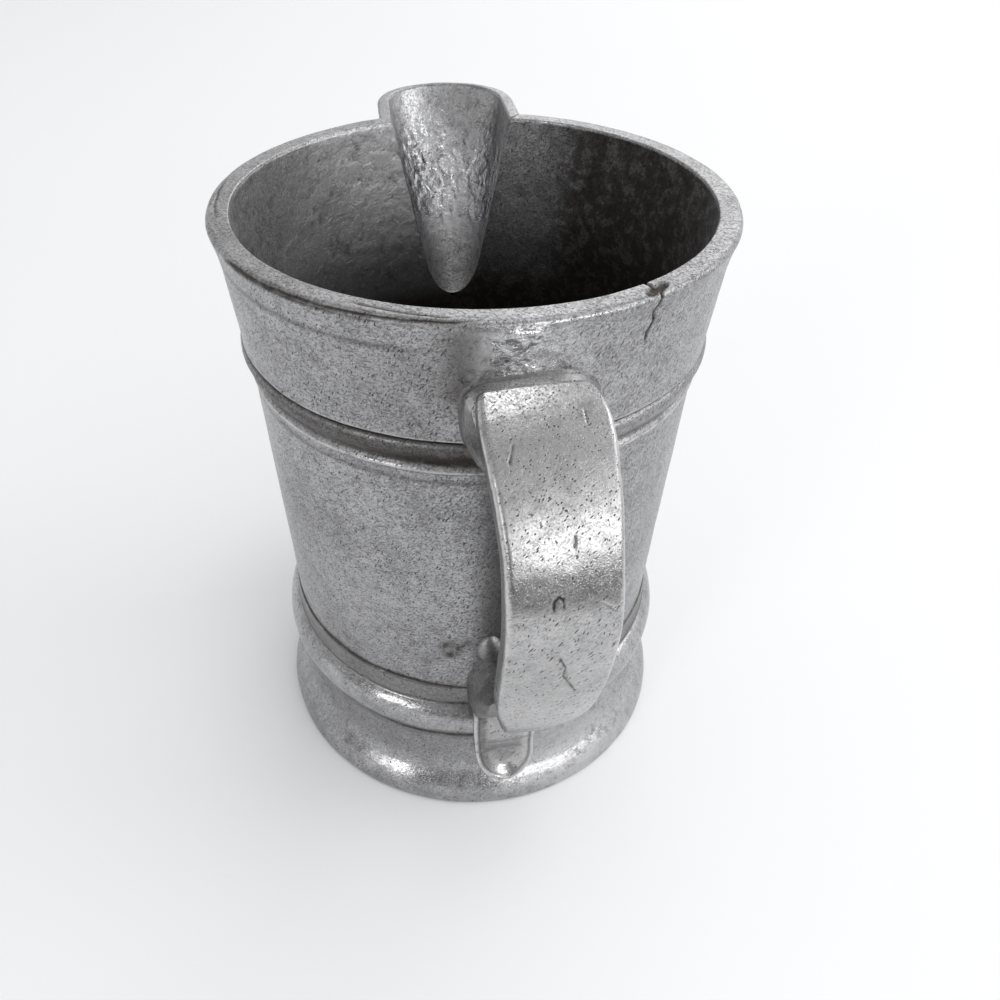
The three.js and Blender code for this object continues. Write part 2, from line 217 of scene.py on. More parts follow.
class Sheets:
    """Gathers grids of points into one mesh, with painted values at the points."""

    weld: float = 2e-6
    sharp_from: float = math.radians(48.0)

    def __init__(self) -> None:
        """Starts with no points."""
        self.points: list[np.ndarray] = []
        self.quads: list[np.ndarray] = []
        self.paint: dict[str, list[np.ndarray]] = {"soil": [], "tarnish": [], "rugged": [], "worn": []}
        self.count = 0

    def add(
        self,
        grid: np.ndarray,
        round_rows: bool = False,
        round_columns: bool = False,
        **paint: np.ndarray,
    ) -> None:
        """Adds one grid.

        Args:
            grid: Rows and columns of points in millimetres.
            round_rows: Whether the last row meets the first.
            round_columns: Whether the last column meets the first.
            **paint: Values from 0 to 1 at the points, by name.
        """
        rows, columns = grid.shape[:2]
        index = np.arange(rows * columns).reshape(rows, columns) + self.count
        if round_rows:
            index = np.vstack([index, index[:1]])
        if round_columns:
            index = np.hstack([index, index[:, :1]])
        corners = [index[:-1, :-1], index[:-1, 1:], index[1:, 1:], index[1:, :-1]]
        self.quads.append(np.stack(corners, axis=-1).reshape(-1, 4))
        self.points.append(grid.reshape(-1, 3))
        for name, values in self.paint.items():
            given = np.broadcast_to(paint.get(name, 0.0), (rows, columns))
            values.append(given.reshape(-1))
        self.count += rows * columns

    def build(self, name: str, outside: tuple[float, float, float] | None = None) -> bpy.types.Object:
        """Makes the mesh object.

        Args:
            name: Name of the piece.
            outside: Direction that most of an open piece's faces turn to; a closed piece needs none.

        Returns:
            The new object, linked to the scene.
        """
        points = np.concatenate(self.points) * MM
        quads = np.concatenate(self.quads)
        mesh = bpy.data.meshes.new(name)
        mesh.from_pydata(points.tolist(), [], quads.tolist())
        for key, values in self.paint.items():
            layer = mesh.attributes.new(key, "FLOAT", "POINT")
            layer.data.foreach_set("value", np.concatenate(values).astype(np.float32))
        work = bmesh.new()
        work.from_mesh(mesh)
        bmesh.ops.remove_doubles(work, verts=work.verts, dist=self.weld)
        bmesh.ops.recalc_face_normals(work, faces=work.faces)
        if outside is None:
            wrong = work.calc_volume(signed=True) < 0.0
        else:
            lean = sum(face.calc_area() * face.normal.dot(outside) for face in work.faces)
            wrong = lean < 0.0
        if wrong:
            bmesh.ops.reverse_faces(work, faces=work.faces)
        work.to_mesh(mesh)
        work.free()
        mesh.polygons.foreach_set("use_smooth", [True] * len(mesh.polygons))
        mesh.set_sharp_from_angle(angle=self.sharp_from)
        piece = bpy.data.objects.new(name, mesh)
        bpy.context.scene.collection.objects.link(piece)
        return piece


def capped(sections: np.ndarray) -> np.ndarray:
    """Closes both ends of a row of sections by drawing the end sections to their middles.

    Args:
        sections: Rows of closed sections.

    Returns:
        The sections with one more row at each end.
    """
    first = np.broadcast_to(sections[0].mean(axis=0), sections[0].shape)
    last = np.broadcast_to(sections[-1].mean(axis=0), sections[-1].shape)
    return np.concatenate([first[None], sections, last[None]])


def fillet(seam: np.ndarray, along_a: np.ndarray, along_b: np.ndarray, leg: float) -> np.ndarray:
    """Hollow-faced run of solder in a corner.

    Args:
        seam: Points of the corner.
        along_a: Unit directions along the first face, away from the corner.
        along_b: Unit directions along the second face, away from the corner.
        leg: Width of the solder on each face.

    Returns:
        Closed sections, one for each seam point.
    """
    bury = 0.12
    root = 0.4
    hollow = 0.22
    start = seam + leg * along_a - bury * along_b
    end = seam + leg * along_b - bury * along_a
    pull = seam + hollow * leg * (along_a + along_b)
    back = seam - root * (along_a + along_b)
    part = np.linspace(0.0, 1.0, 7)[None, :, None]
    face = (
        (1 - part) ** 2 * start[:, None]
        + 2 * part * (1 - part) * pull[:, None]
        + part**2 * end[:, None]
    )
    return np.concatenate([face, back[:, None]], axis=1)


# Finishes

Shade = tuple[float, float, float, float]
Socket = bpy.types.NodeSocket
Value = Socket | float | Shade


class ShaderSheet:
    """Adds and joins the shader nodes of one material."""

    def __init__(self, material: bpy.types.Material) -> None:
        """Starts from the material's plain shader.

        Args:
            material: Material to add the nodes to.
        """
        material.use_nodes = True
        self.tree = material.node_tree
        self.shader = self.tree.nodes["Principled BSDF"]

    def put(self, socket: Socket, value: Value) -> None:
        """Sets a socket's value, or joins it where the value is another socket.

        Args:
            socket: Input to fill.
            value: Number, colour or another node's output.
        """
        if isinstance(value, Socket):
            self.tree.links.new(value, socket)
        else:
            socket.default_value = value

    def math(self, operation: str, first: Value, second: Value = 0.0) -> Socket:
        """One step of arithmetic.

        Args:
            operation: Name of the step.
            first: First number.
            second: Second number.

        Returns:
            Socket with the result.
        """
        node = self.tree.nodes.new("ShaderNodeMath")
        node.operation = operation
        self.put(node.inputs[0], first)
        self.put(node.inputs[1], second)
        return node.outputs[0]

    def spot(self, name: str) -> Socket:
        """Painted value of the mesh.

        Args:
            name: Name of the paint.

        Returns:
            Socket with the value, from 0 to 1.
        """
        node = self.tree.nodes.new("ShaderNodeAttribute")
        node.attribute_name = name
        return node.outputs["Fac"]

    def place(self) -> Socket:
        """Position on the piece in millimetres."""
        source = self.tree.nodes.new("ShaderNodeTexCoord")
        return self.stretch(source.outputs["Object"], (0.0, 0.0, 0.0), (1 / MM, 1 / MM, 1 / MM))

    def stretch(
        self, place: Socket, turn: tuple[float, float, float], scale: tuple[float, float, float]
    ) -> Socket:
        """Position turned and then scaled.

        Args:
            place: Position to start from.
            turn: Angles about the three axes, in degrees.
            scale: Factors along the three axes.

        Returns:
            Socket with the new position.
        """
        node = self.tree.nodes.new("ShaderNodeMapping")
        node.vector_type = "POINT"
        self.put(node.inputs["Vector"], place)
        node.inputs["Rotation"].default_value = [math.radians(angle) for angle in turn]
        scaling = self.tree.nodes.new("ShaderNodeVectorMath")
        scaling.operation = "MULTIPLY"
        self.put(scaling.inputs[0], node.outputs["Vector"])
        scaling.inputs[1].default_value = scale
        return scaling.outputs["Vector"]

    def noise(
        self, place: Socket, scale: float, detail: float, rough: float, warp: float = 0.0
    ) -> Socket:
        """Cloudy noise.

        Args:
            place: Position on the piece.
            scale: Clouds per millimetre.
            detail: Number of finer layers.
            rough: Share of the finer layers.
            warp: How far the clouds are drawn about.

        Returns:
            Socket with the noise, from 0 to 1.
        """
        node = self.tree.nodes.new("ShaderNodeTexNoise")
        self.put(node.inputs["Vector"], place)
        node.inputs["Scale"].default_value = scale
        node.inputs["Detail"].default_value = detail
        node.inputs["Roughness"].default_value = rough
        node.inputs["Distortion"].default_value = warp
        return node.outputs["Fac"]

    def cells(self, place: Socket, scale: float) -> tuple[Socket, Socket]:
        """Scattered spots.

        Args:
            place: Position on the piece.
            scale: Spots per unit of the position.

        Returns:
            Distance to the nearest spot, and that spot's own random value.
        """
        node = self.tree.nodes.new("ShaderNodeTexVoronoi")
        self.put(node.inputs["Vector"], place)
        node.inputs["Scale"].default_value = scale
        split = self.tree.nodes.new("ShaderNodeSeparateColor")
        self.put(split.inputs[0], node.outputs["Color"])
        return node.outputs["Distance"], split.outputs[0]

    def ease(self, value: Value, low: float, high: float) -> Socket:
        """Smooth share of a value between two levels.

        Args:
            value: Value to look at.
            low: Level at which the share is 0.
            high: Level at which the share is 1.

        Returns:
            Socket with the share.
        """
        node = self.tree.nodes.new("ShaderNodeMapRange")
        node.interpolation_type = "SMOOTHSTEP"
        self.put(node.inputs["Value"], value)
        node.inputs["From Min"].default_value = low
        node.inputs["From Max"].default_value = high
        return node.outputs["Result"]

    def mix(self, share: Value, first: Value, second: Value) -> Socket:
        """Blend of two colours.

        Args:
            share: Share of the second colour.
            first: First colour.
            second: Second colour.

        Returns:
            Socket with the blend.
        """
        node = self.tree.nodes.new("ShaderNodeMix")
        node.data_type = "RGBA"
        self.put(node.inputs[0], share)
        self.put(node.inputs[6], first)
        self.put(node.inputs[7], second)
        return node.outputs[2]


@dataclass(frozen=True)
class Surface:
    """Patterns and painted values of one material, each as a socket."""

    place: Socket
    mottle: Socket
    grain: Socket
    marks: Socket
    pale_strokes: Socket
    soil: Socket
    tarnish: Socket
    worn: Socket
    rugged: Socket


@dataclass(frozen=True)
class MetalFinish:
    """Grey cast metal with mottling, strokes, pits, tarnish, soil and worn edges, whose painted values also
    hold painted shade and painted highlights.
    """

    name: str
    slot: Slot
    # Colour of pale strokes and worn edges, also used for painted highlights.
    bright: Shade = (0.66, 0.66, 0.67, 1.0)
    pale: Shade = (0.50, 0.50, 0.51, 1.0)
    dull: Shade = (0.23, 0.23, 0.236, 1.0)
    dark: Shade = (0.05, 0.049, 0.048, 1.0)
    # Colour of soil, also used for painted shade.
    soil: Shade = (0.046, 0.039, 0.033, 1.0)
    roughness: float = 0.31
    spread: float = 0.22
    speckle: float = 2.0
    grain: float = 0.030
    lumps: float = 0.07
    pitting: float = 0.30
    hatching: float = 0.8

    def make(self) -> bpy.types.Material:
        """Builds the material.

        Returns:
            The new material.
        """
        material = bpy.data.materials.new(self.name)
        sheet = ShaderSheet(material)
        surface = self._surface(sheet)
        sheet.put(sheet.shader.inputs["Base Color"], self._colour(sheet, surface))
        sheet.put(sheet.shader.inputs["Roughness"], self._rough(sheet, surface))
        sheet.shader.inputs["Metallic"].default_value = 1.0
        bump = sheet.tree.nodes.new("ShaderNodeBump")
        bump.inputs["Strength"].default_value = 1.0
        bump.inputs["Distance"].default_value = MM
        sheet.put(bump.inputs["Height"], self._relief(sheet, surface))
        sheet.put(sheet.shader.inputs["Normal"], bump.outputs["Normal"])
        return material

    def _surface(self, sheet: ShaderSheet) -> Surface:
        """Gathers the patterns and the painted values that the finish is made of.

        Args:
            sheet: Sheet to add the nodes to.

        Returns:
            The patterns and values.
        """
        place = sheet.place()
        mottle = sheet.noise(place, 0.45, 6.0, 0.68, 0.3)
        dark_turns = ((15.0, 40.0, 60.0), (70.0, -35.0, 10.0), (-50.0, 20.0, -40.0))
        pale_turns = ((35.0, -20.0, 80.0), (-15.0, 65.0, -30.0))
        dark_strokes = self._strokes(sheet, place, dark_turns, 0.58)
        scratches = sheet.math("MULTIPLY", dark_strokes, self.hatching * 0.7)
        # The soil paint also holds painted shade; its square keeps the strongest painted shade evenly dark.
        soil = sheet.math("MULTIPLY", sheet.spot("soil"), sheet.ease(mottle, 0.25, 0.50))
        dense_soil_and_shade = sheet.math("MULTIPLY", sheet.spot("soil"), sheet.spot("soil"))
        return Surface(
            place=place,
            mottle=mottle,
            grain=sheet.noise(place, 2.4, 4.0, 0.75),
            marks=sheet.math("MAXIMUM", scratches, self._pits(sheet, place)),
            pale_strokes=self._strokes(sheet, place, pale_turns, 0.62),
            soil=sheet.math("MAXIMUM", soil, sheet.math("MULTIPLY", dense_soil_and_shade, 0.9)),
            tarnish=sheet.spot("tarnish"),
            worn=sheet.math("MULTIPLY", sheet.spot("worn"), sheet.ease(mottle, 0.30, 0.52)),
            rugged=sheet.spot("rugged"),
        )

    def _colour(self, sheet: ShaderSheet, surface: Surface) -> Socket:
        """Colour of the metal, from its tone through marks, tarnish and soil, which also hold painted
        shade, to worn edges and painted highlights.

        Args:
            sheet: Sheet to add the nodes to.
            surface: Patterns and painted values.

        Returns:
            Socket with the colour.
        """
        clouds = sheet.noise(surface.place, 0.07, 5.0, 0.62)
        tone: Value = 0.5
        for pattern, share in ((clouds, 1.0), (surface.mottle, 1.3), (surface.grain, self.speckle)):
            swing = sheet.math("MULTIPLY", sheet.math("SUBTRACT", pattern, 0.5), share)
            tone = sheet.math("ADD", tone, swing)
        colour = sheet.mix(sheet.ease(tone, 0.0, 1.0), self.dull, self.pale)
        colour = sheet.mix(sheet.math("MULTIPLY", surface.marks, 0.9), colour, self.dark)
        strokes = sheet.math("MULTIPLY", surface.pale_strokes, self.hatching * 0.5)
        colour = sheet.mix(strokes, colour, self.bright)
        patches = sheet.math("MULTIPLY", sheet.ease(surface.mottle, 0.40, 0.66), 0.70)
        patches = sheet.math("MULTIPLY", surface.tarnish, sheet.math("ADD", 0.02, patches))
        colour = sheet.mix(patches, colour, self.dark)
        # Painted shade comes in with the soil, painted highlights and sheen with the worn edges.
        colour = sheet.mix(surface.soil, colour, self.soil)
        return sheet.mix(sheet.math("MULTIPLY", surface.worn, 0.8), colour, self.bright)

    def _rough(self, sheet: ShaderSheet, surface: Surface) -> Socket:
        """Roughness of the metal: soil, marks and tarnish dull it, lumpy places are rubbed.

        Args:
            sheet: Sheet to add the nodes to.
            surface: Patterns and painted values.

        Returns:
            Socket with the roughness.
        """
        swing = sheet.math("MULTIPLY", sheet.math("SUBTRACT", surface.mottle, 0.5), self.spread)
        rough = sheet.math("ADD", swing, self.roughness)
        changes = (
            (surface.marks, 0.15),
            (surface.soil, 0.20),
            (surface.tarnish, 0.32),
            (surface.rugged, -0.15),
        )
        for pattern, share in changes:
            rough = sheet.math("ADD", rough, sheet.math("MULTIPLY", pattern, share))
        return rough

    def _relief(self, sheet: ShaderSheet, surface: Surface) -> Socket:
        """Height of the fine relief: grain, lumps, sunk marks and raised strokes.

        Args:
            sheet: Sheet to add the nodes to.
            surface: Patterns and painted values.

        Returns:
            Socket with the height in millimetres.
        """
        lumps = sheet.noise(surface.place, 0.40, 1.5, 0.45, 0.5)
        crinkles = sheet.math("MULTIPLY", sheet.noise(surface.place, 1.0, 2.5, 0.6, 0.4), 0.2)
        coarse = sheet.math("ADD", lumps, crinkles)
        height = sheet.math("MULTIPLY", surface.grain, self.grain)
        changes = (
            (surface.mottle, self.lumps),
            (surface.marks, -0.035),
            (surface.pale_strokes, self.hatching * 0.012),
            (coarse, surface.rugged),
        )
        for pattern, share in changes:
            height = sheet.math("ADD", height, sheet.math("MULTIPLY", pattern, share))
        return height

    def _strokes(
        self, sheet: ShaderSheet, place: Socket, turns: tuple[tuple[float, float, float], ...], start: float
    ) -> Socket:
        """Short fine strokes left by rubbing and casting.

        Args:
            sheet: Sheet to add the nodes to.
            place: Position on the piece.
            turns: Direction of each set of strokes, as angles in degrees.
            start: Noise level at which a stroke begins.

        Returns:
            Socket that is 1 in a stroke.
        """
        total: Value = 0.0
        for turn in turns:
            drawn = sheet.stretch(place, turn, (0.8, 3.4, 3.4))
            stroke = sheet.ease(sheet.noise(drawn, 1.0, 1.5, 0.6), start, start + 0.09)
            total = sheet.math("MAXIMUM", total, stroke)
        return total

    def _pits(self, sheet: ShaderSheet, place: Socket) -> Socket:
        """Casting pits, round and drawn out.

        Args:
            sheet: Sheet to add the nodes to.
            place: Position on the piece.

        Returns:
            Socket that is 1 in a pit.
        """
        wobble = sheet.noise(place, 2.6, 2.0, 0.5)
        total: Value = 0.0
        for turn, scale, size in (
            ((0.0, 0.0, 0.0), (0.7, 0.7, 0.7), 0.14),
            ((0.0, 52.0, 0.0), (0.36, 1.8, 1.8), 0.26),
            ((10.0, 70.0, 20.0), (0.60, 2.3, 2.3), 0.30),
            ((-20.0, 25.0, -30.0), (0.75, 2.6, 2.6), 0.28),
        ):
            distance, chance = sheet.cells(sheet.stretch(place, turn, scale), 1.0)
            ragged = sheet.math("ADD", distance, sheet.math("MULTIPLY", wobble, 0.18))
            hole = sheet.math("SUBTRACT", 1.0, sheet.ease(ragged, size * 0.8, size * 1.25))
            chosen = sheet.math("LESS_THAN", chance, self.pitting)
            total = sheet.math("MAXIMUM", total, sheet.math("MULTIPLY", hole, chosen))
        return total


CAST = MetalFinish("cast metal", Slot.CAST)
TURNED = MetalFinish(
    "turned metal",
    Slot.BURNISHED,
    pale=(0.52, 0.52, 0.53, 1.0),
    dull=(0.27, 0.27, 0.275, 1.0),
    roughness=0.20,
    speckle=1.6,
    grain=0.014,
    lumps=0.05,
    pitting=0.2,
    hatching=0.5,
)
BURNISHED = MetalFinish(
    "burnished metal",
    Slot.BURNISHED,
    bright=(0.76, 0.757, 0.76, 1.0),
    pale=(0.56, 0.557, 0.56, 1.0),
    dull=(0.35, 0.35, 0.352, 1.0),
    roughness=0.20,
    spread=0.14,
    speckle=1.2,
    grain=0.009,
    lumps=0.035,
    pitting=0.34,
    hatching=0.4,
)
SOLDER = MetalFinish(
    "solder",
    Slot.SOLDER,
    pale=(0.44, 0.44, 0.445, 1.0),
    dull=(0.24, 0.24, 0.24, 1.0),
    roughness=0.33,
    pitting=0.12,
    hatching=0.4,
)


@dataclass
class Workshop:
    """Dresses pieces and puts them on the root body in place of their nodes."""

    materials: dict[str, bpy.types.Material] = field(default_factory=dict)

    def hand_in(self, piece: bpy.types.Object, finish: MetalFinish, *nodes: str) -> None:
        """Gives a piece its finish and puts it in place of its nodes.

        Args:
            piece: Mesh object in its place.
            finish: Finish to dress it with.
            *nodes: Names of the nodes that it stands for.
        """
        if finish.name not in self.materials:
            self.materials[finish.name] = finish.make()
        piece.data.materials.append(self.materials[finish.name])
        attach(piece, "root")
        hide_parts(*nodes)
        LOG.info("%s: %d faces", piece.name, len(piece.data.polygons))


# Vessel


@dataclass(frozen=True)
class Trough:
    """U-shaped plan that narrows evenly from the rim down to its foot."""

    top_half: float
    top_reach: float
    foot_half: float
    foot_reach: float
    foot_z: float = 72.3
    least_half: float = 0.4

    def _part(self, z: np.ndarray) -> np.ndarray:
        """Share of the way from the foot up to the rim."""
        return (np.asarray(z, float) - self.foot_z) / (HEIGHT - self.foot_z)

    def half(self, z: np.ndarray) -> np.ndarray:
        """Half of the width at a height."""
        width = self.foot_half + (self.top_half - self.foot_half) * self._part(z)
        return np.maximum(width, self.least_half)

    def reach(self, z: np.ndarray) -> np.ndarray:
        """Distance of the tip from the vessel's axis at a height."""
        return self.foot_reach + (self.top_reach - self.foot_reach) * self._part(z)

    def run_to(self, radius: np.ndarray, z: np.ndarray) -> np.ndarray:
        """Length along the U from its tip to where it crosses a circle about the axis.

        Args:
            radius: Radius of the circle.
            z: Height of the circle.

        Returns:
            Length in millimetres.
        """
        half = self.half(z)
        centre = self.reach(z) - half
        cosine = (radius**2 - half**2 - centre**2) / (2.0 * half * np.maximum(centre, 1e-6))
        on_round = half * np.arccos(np.clip(cosine, 0.0, 1.0))
        side_y = np.sqrt(np.maximum(radius**2 - half**2, 0.0))
        on_side = half * math.pi / 2 + centre - side_y
        return np.where(cosine >= 0.0, on_round, on_side)

    def point(self, run: np.ndarray, z: np.ndarray) -> np.ndarray:
        """Points of the U.

        Args:
            run: Signed lengths from the tip along the U.
            z: Heights.

        Returns:
            Points with a last axis of three.
        """
        half = self.half(z)
        centre = self.reach(z) - half
        quarter = half * math.pi / 2
        turn = np.minimum(np.abs(run), quarter) / half
        beyond = np.maximum(np.abs(run) - quarter, 0.0)
        x = np.sign(run) * half * np.sin(turn)
        y = centre + half * np.cos(turn) - beyond
        return np.stack([x, y, np.broadcast_to(z, x.shape)], axis=-1)

    def gap_angle(self, radius: np.ndarray, z: np.ndarray) -> np.ndarray:
        """Half angle that the U takes out of a circle about the axis."""
        points = self.point(self.run_to(radius, z), z)
        return np.arctan2(points[..., 0], points[..., 1])


class Face(Enum):
    """Where on the barrel a mark lies."""

    RIM = "rim"
    WALL = "wall"


@dataclass(frozen=True)
class Score:
    """Scored line or crack: points of angle and radius on the rim, angle and height on the wall."""

    face: Face
    points: tuple[tuple[float, float], ...]
    width: float
    depth: float
    soil: float


@dataclass
class Barrel:
    """Tapered wall of the vessel with its band and flat rim."""

    wall_foot: tuple[float, float] = (35.787, 32.0)
    wall_slope: float = 0.02598
    wall_end: float = 18.6
    neck_foot: tuple[float, float] = (37.948, 89.0)
    neck_slope: float = 0.0798
    neck_start: float = 86.0
    flare_start: float = 101.0
    flare_rise: float = 5.7
    flare: float = 0.64
    moulding: tuple[tuple[float, float], ...] = (
        (37.1, 81.95),
        (37.28, 82.1),
        (37.42, 82.35),
        (37.46, 82.6),
        (37.38, 82.85),
        (37.2, 83.1),
        (37.02, 83.3),
        (36.95, 83.5),
        (37.05, 83.9),
        (37.35, 84.5),
        (37.75, 85.1),
        (38.1, 85.75),
        (38.33, 86.45),
        (38.38, 87.1),
        (38.24, 87.65),
        (38.0, 87.95),
        (37.8, 88.06),
        (37.64, 88.1),
        (37.8, 88.16),
        (37.95, 88.28),
        (38.02, 88.45),
        (38.0, 88.7),
    )
    rim_radius: float = 40.0
    rim_round: float = 0.85
    rim_step: float = 0.22
    mouth_radius: float = 36.6
    mouth_round: float = 0.25
    inside_break: tuple[float, float] = (35.0, 86.0)
    inside_floor: tuple[float, float] = (33.0, 18.6)
    inside_waves: float = 1.6
    inside_rugged: float = 0.16
    channel: Trough = Trough(11.04, 59.04, 3.69, 34.04)
    waves: Unevenness = Unevenness(11, ((16.0, 0.10), (5.5, 0.05), (1.8, 0.014)))
    wander: Unevenness = Unevenness(71, ((1.4, 0.22), (0.5, 0.10)))
    chip_place: tuple[float, float] = (29.6, 38.7)
    chip_reach: tuple[float, float] = (1.9, 1.0)
    chip_depth: float = 0.45
    blot_place: tuple[float, float] = (-12.0, 42.6)
    scores: tuple[Score, ...] = (
        Score(Face.RIM, ((-64.0, 39.95), (-45.0, 39.9), (-29.0, 39.8), (-7.0, 39.6)), 0.22, 0.26, 1.0),
        Score(Face.RIM, ((-31.0, 38.05), (-21.7, 38.5), (-9.5, 39.0)), 0.17, 0.14, 1.0),
        Score(Face.RIM, ((-105.0, 39.1), (-96.0, 38.8), (-85.6, 38.5), (-80.0, 38.2)), 0.18, 0.12, 0.9),
        Score(
            Face.WALL,
            ((28.5, 100.0), (28.2, 101.8), (29.3, 103.4), (28.5, 105.0), (29.2, 106.6), (29.6, 108.6)),
            0.24,
            0.40,
            1.0,
        ),
        Score(Face.WALL, ((3.1, 102.5), (3.5, 105.0)), 0.20, 0.22, 1.0),
    )

    def outer_radius(self, z: np.ndarray) -> np.ndarray:
        """Radius of the outside at a height, without the band.

        Args:
            z: Heights.

        Returns:
            Radii in millimetres.
        """
        z = np.asarray(z, float)
        lower = self.wall_foot[0] + self.wall_slope * (z - self.wall_foot[1])
        rise = np.clip((z - self.flare_start) / self.flare_rise, 0.0, 1.0)
        upper = self.neck_foot[0] + self.neck_slope * (z - self.neck_foot[1]) + self.flare * rise**2
        return np.where(z < self.neck_start, lower, upper)

    def inner_radius(self, z: np.ndarray) -> np.ndarray:
        """Radius of the inside at a height.

        Args:
            z: Heights.

        Returns:
            Radii in millimetres.
        """
        heights = [self.inside_floor[1], self.inside_break[1], HEIGHT]
        radii = [self.inside_floor[0], self.inside_break[0], self.mouth_radius]
        return np.interp(z, heights, radii)

    def profile(self) -> tuple[np.ndarray, int]:
        """Closed section of the wall.

        Returns:
            Rows of radius and height from the outer foot over the rim to the inner foot,
            and the row at which the inside starts.
        """
        wall_z = np.concatenate([[self.wall_end, 24.0, 29.0], np.arange(30.4, 81.8, 0.65)])
        wall = np.stack([self.outer_radius(wall_z), wall_z], axis=-1)
        neck_z = np.concatenate([np.arange(88.9, 101.0, 0.6), np.arange(101.2, 106.7, 0.28)])
        neck = np.stack([self.outer_radius(neck_z), neck_z], axis=-1)
        turn = self.rim_round
        edge = arc((self.rim_radius - turn, HEIGHT - turn), turn, 0.0, 90.0, 9)
        small = self.mouth_round
        step = self.rim_step
        top_r = np.arange(self.rim_radius - turn - step, self.mouth_radius + small, -step)
        top = np.stack([top_r, np.full(len(top_r), HEIGHT)], axis=-1)
        mouth = arc((self.mouth_radius + small, HEIGHT - small), small, 90.0, 180.0, 5)
        end = self.wall_end
        inner_z = np.concatenate([np.arange(107.0, 70.0, -0.75), np.arange(69.5, end, -1.6), [end]])
        inner = np.stack([self.inner_radius(inner_z), inner_z], axis=-1)
        outside = np.concatenate([wall, np.array(self.moulding), neck, edge, top, mouth])
        return np.concatenate([outside, inner]), len(outside)

    def columns(self, gap: np.ndarray) -> np.ndarray:
        """Angles of the columns for each row, opened round the channel.

        Args:
            gap: Half angle taken out by the channel at each row.

        Returns:
            Angles from -Y towards +X, rows by columns.
        """
        fine = np.concatenate([np.linspace(26.0, 33.5, 45), np.linspace(1.5, 5.5, 17)]) / 180.0
        share = np.unique(np.round(np.concatenate([np.linspace(-1.0, 1.0, 361), fine]), 6))
        bend = 0.8
        beyond = np.clip((np.abs(share) - bend) / (1.0 - bend), 0.0, 1.0)
        room = (1.0 - bend) * math.pi - gap[:, None]
        angle = np.minimum(np.abs(share), bend) * math.pi + beyond * room
        return np.sign(share) * angle

    def build(self) -> bpy.types.Object:
        """Makes the barrel with its rim marks.

        Returns:
            The piece.
        """
        profile, inside_row = self.profile()
        gap = self.channel.gap_angle(profile[:, 0], profile[:, 1])
        turns = self.columns(gap)
        slope = unit(np.gradient(profile, axis=0))
        normal = lathe(np.stack([slope[:, 1], -slope[:, 0]], axis=-1), turns)
        grid = lathe(profile, turns)
        lift = self.waves.at(grid)
        lift[inside_row:] *= self.inside_waves
        degrees = np.degrees(turns)
        height = profile[:, 1:]
        depth, marked = self._scores(grid, degrees, profile, inside_row)
        grid = grid + normal * (lift - depth)[..., None]
        rugged = self._filed(degrees, height)
        paint = {
            "soil": np.maximum(self._outer_soil_and_shade(degrees, height), marked),
            "tarnish": np.zeros(degrees.shape),
            "rugged": rugged,
            # Painted highlights along the band's two edges; filed metal round the upper root, lightened as
            # painted sheen.
            "worn": np.maximum(0.7 * bell(height, 88.4, 0.2) + bell(height, 82.6, 0.2), 1.1 * rugged),
        }
        for name, values in self._inside_paint(degrees, height).items():
            paint[name][inside_row:] = values[inside_row:]
        sheets = Sheets()
        sheets.add(grid, round_rows=True, **paint)
        return sheets.build("barrel")

    def _inside_paint(self, degrees: np.ndarray, height: np.ndarray) -> dict[str, np.ndarray]:
        """Paint of the inside: painted shade below and to the right, painted light on the left wall and on
        both sides of the spout.

        Args:
            degrees: Angle of each grid point.
            height: Height of each row.

        Returns:
            Values from 0 to 1 at each grid point, by name.
        """
        by_spout = fade(degrees, 136.0, 160.0) * fade(height, 74.0, 84.0)
        left_of_spout = fade(-degrees, 105.0, 150.0)
        # Painted light: less tarnish on the left wall and beside the spout.
        painted_light_share = 0.1 * fade(-degrees, 0.0, 60.0) + 0.4 * left_of_spout + 0.3 * by_spout
        # Painted shade on the right wall and deep down, carried by the soil paint; painted light as
        # brighter metal left of the spout.
        shaded = fade(degrees, 10.0, 110.0) * (0.82 + 0.16 * (1.0 - fade(height, 80.0, 100.0)))
        shaded = shaded * (1.0 - 0.85 * by_spout)
        return {
            "soil": np.maximum(1.0 - fade(height, 72.0, 81.0), shaded),
            "tarnish": 1.0 - painted_light_share,
            "rugged": np.full(degrees.shape, self.inside_rugged),
            "worn": 0.55 * left_of_spout * fade(height, 70.0, 84.0),
        }

    @staticmethod
    def _filed(degrees: np.ndarray, height: np.ndarray) -> np.ndarray:
        """Share of lumpy, filed surface round the handle's upper root."""
        beside = bell(degrees, 1.5, 8.0)
        return 1.25 * beside * fade(height, 93.0, 99.0) * (1.0 - fade(height, 105.5, 107.0))

